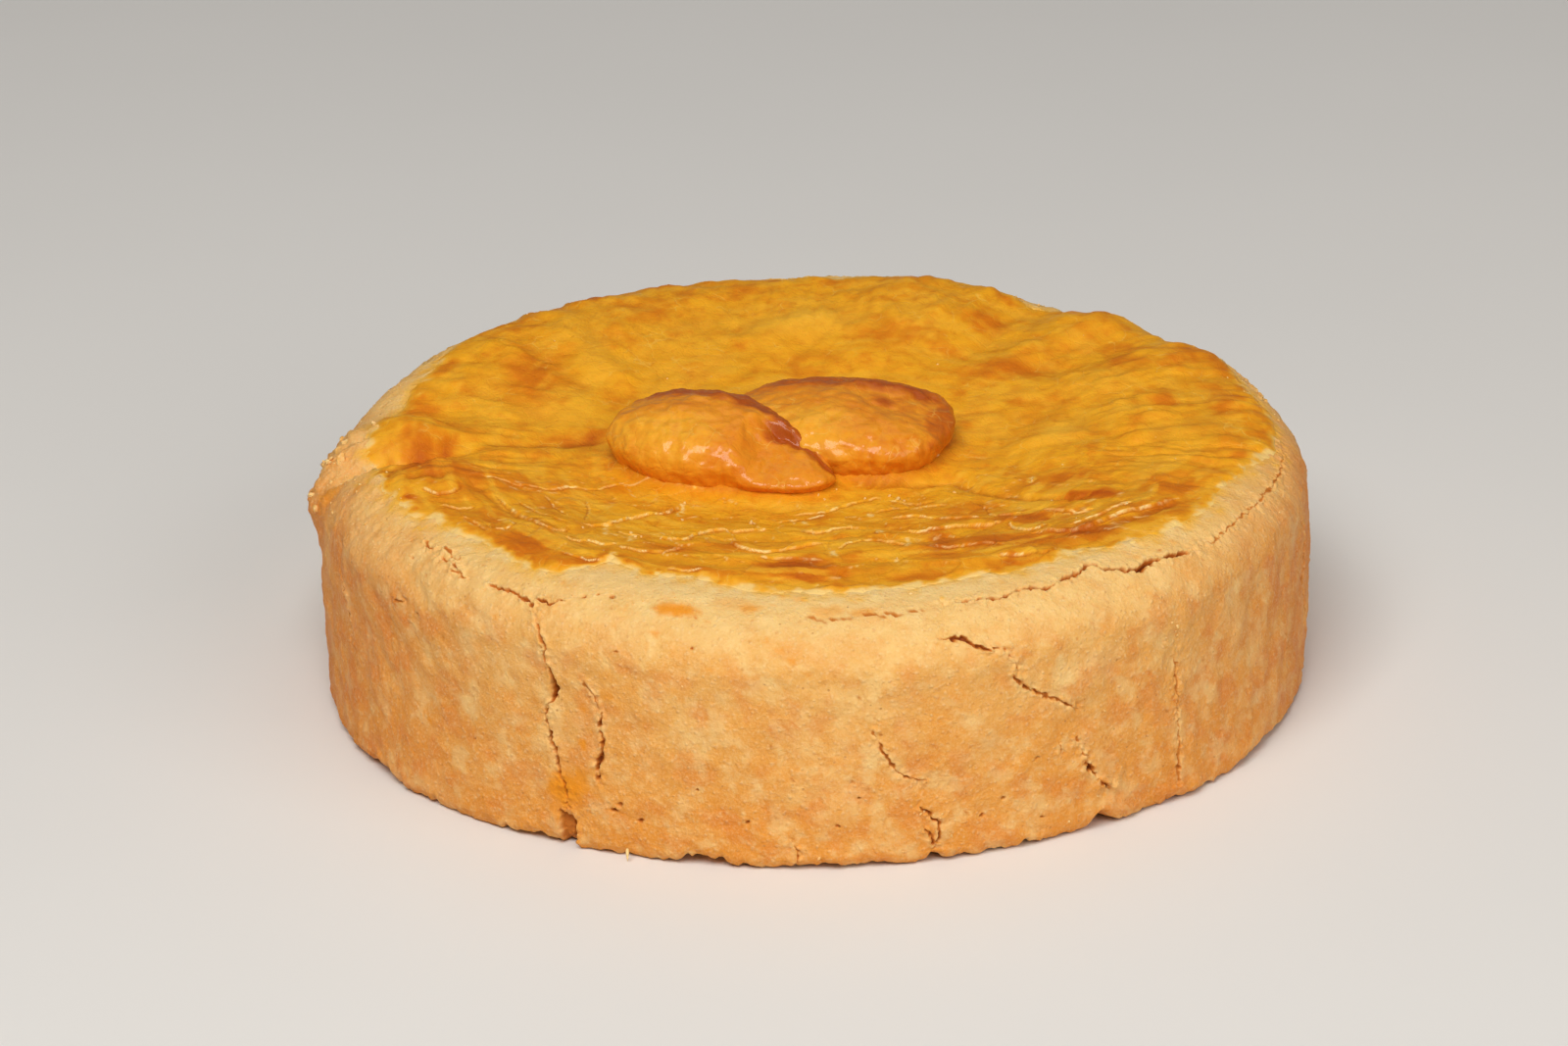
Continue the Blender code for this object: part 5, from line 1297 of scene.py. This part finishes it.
def crumb_material():
    m = Net("crumb")
    fine, sand = m.noise(0.5, 3.0, 0.6), m.noise(0.2, 2.0, 0.7)
    colour = m.mix(m.mask("tone"), rgb(240, 178, 88), rgb(252, 218, 152))
    colour = m.mix(m.math("MULTIPLY", m.step(fine, 0.40, 0.70), 0.4), colour, rgb(255, 228, 174))
    colour = m.mix(m.math("MULTIPLY", m.step(sand, 0.46, 0.26), 0.35), colour, rgb(212, 138, 58))
    m.put(m.shader.inputs["Base Color"], colour)
    m.put(m.shader.inputs["Roughness"], m.step(fine, 0.3, 0.7, 0.55, 0.75))
    m.skin(Specular_IOR_Level=0.30, Subsurface_Weight=0.10, Subsurface_Scale=0.001)
    m.bumps(((fine, 0.10), (sand, 0.05)))
    return m.mat


def floor_material():
    m = Net("studio_floor")
    colour = m.mix(m.noise(60.0, 2.0), (0.78, 0.77, 0.75, 1.0), (0.81, 0.80, 0.78, 1.0))
    m.put(m.shader.inputs["Base Color"], colour)
    m.skin(Roughness=0.8, Specular_IOR_Level=0.15)
    return m.mat


# ---------------------------------------------------------------- build it
crust = make_crust()
lid = make_lid()
left = make_ornament("ornament_left")
right = make_ornament("ornament_right")
crumbs = make_crumbs()

crust.data.materials.append(pastry_material())
lid.data.materials.append(glaze_material("egg_wash", rgb(243, 170, 30), rgb(224, 130, 16), rgb(186, 84, 8), 0.16, 0.42, 0.03))
ornament_glaze = glaze_material("ornament_wash", rgb(240, 160, 34), rgb(222, 126, 20), rgb(176, 76, 8), 0.18, 0.40, 0.42)
left.data.materials.append(ornament_glaze)
right.data.materials.append(ornament_glaze)
crumbs.data.materials.append(crumb_material())

for piece, name in ((crust, "pastry"), (lid, "glazed_pastry"), (left, "glazed_pastry"), (right, "glazed_pastry"), (crumbs, "pastry")):
    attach(piece, "root")
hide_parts("pie")
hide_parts("ornament_left")
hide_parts("ornament_right")

# ---------------------------------------------------------------- floor, light and camera
floor_mesh = bpy.data.meshes.new("floor")
floor_mesh.from_pydata([(-3, -3, -0.00004), (3, -3, -0.00004), (3, 3, -0.00004), (-3, 3, -0.00004)], [], [(0, 1, 2, 3)])
floor = bpy.data.objects.new("floor", floor_mesh)
floor_mesh.materials.append(floor_material())
bpy.context.scene.collection.objects.link(floor)

world = bpy.data.worlds.new("studio")
bpy.context.scene.world = world
world.use_nodes = True
world.node_tree.nodes["Background"].inputs["Color"].default_value = (1.0, 0.97, 0.94, 1.0)
world.node_tree.nodes["Background"].inputs["Strength"].default_value = 0.11


def softbox(name, size, azimuth, elevation, distance, watts, colour=(1.0, 1.0, 1.0)):
    """A square light that looks at the pie. Azimuth 0 is the camera's side, positive to the right."""
    light = bpy.data.lights.new(name, "AREA")
    light.shape = "RECTANGLE"
    light.size, light.size_y = size
    light.energy = watts
    light.color = colour
    obj = bpy.data.objects.new(name, light)
    a, e = math.radians(azimuth), math.radians(elevation)
    from mathutils import Vector
    away = Vector((math.sin(a) * math.cos(e), -math.cos(a) * math.cos(e), math.sin(e)))
    obj.location = away * distance + Vector((0, 0, 0.02))
    obj.rotation_mode = "QUATERNION"
    obj.rotation_quaternion = away.to_track_quat("Z", "Y")
    bpy.context.scene.collection.objects.link(obj)


softbox("key", (0.55, 0.45), -16.0, 54.0, 0.85, 5.9, (1.0, 0.97, 0.93))
softbox("fill", (0.8, 0.5), 44.0, 30.0, 1.0, 2.6, (1.0, 0.96, 0.92))
softbox("back", (0.7, 0.5), 172.0, 62.0, 1.0, 0.5, (1.0, 0.98, 0.95))

camera_data = bpy.data.cameras.new("camera")
camera = bpy.data.objects.new("camera", camera_data)
camera_data.sensor_width = 36.0
camera_data.lens = 112.5
camera_data.clip_start, camera_data.clip_end = 0.01, 20.0
camera_data.dof.use_dof = False
down = math.radians(22.93)
from mathutils import Matrix
camera.matrix_world = (
    Matrix.Translation((-0.00308, -0.50210 * math.cos(down), 0.01444 + 0.50210 * math.sin(down)))
    @ Matrix.Rotation(math.pi / 2 - down, 4, "X")
    @ Matrix.Rotation(math.radians(-1.10), 4, "Z")
)
bpy.context.scene.collection.objects.link(camera)
bpy.context.scene.camera = camera
bpy.context.scene.view_settings.view_transform = "Standard"
bpy.context.scene.view_settings.look = "None"
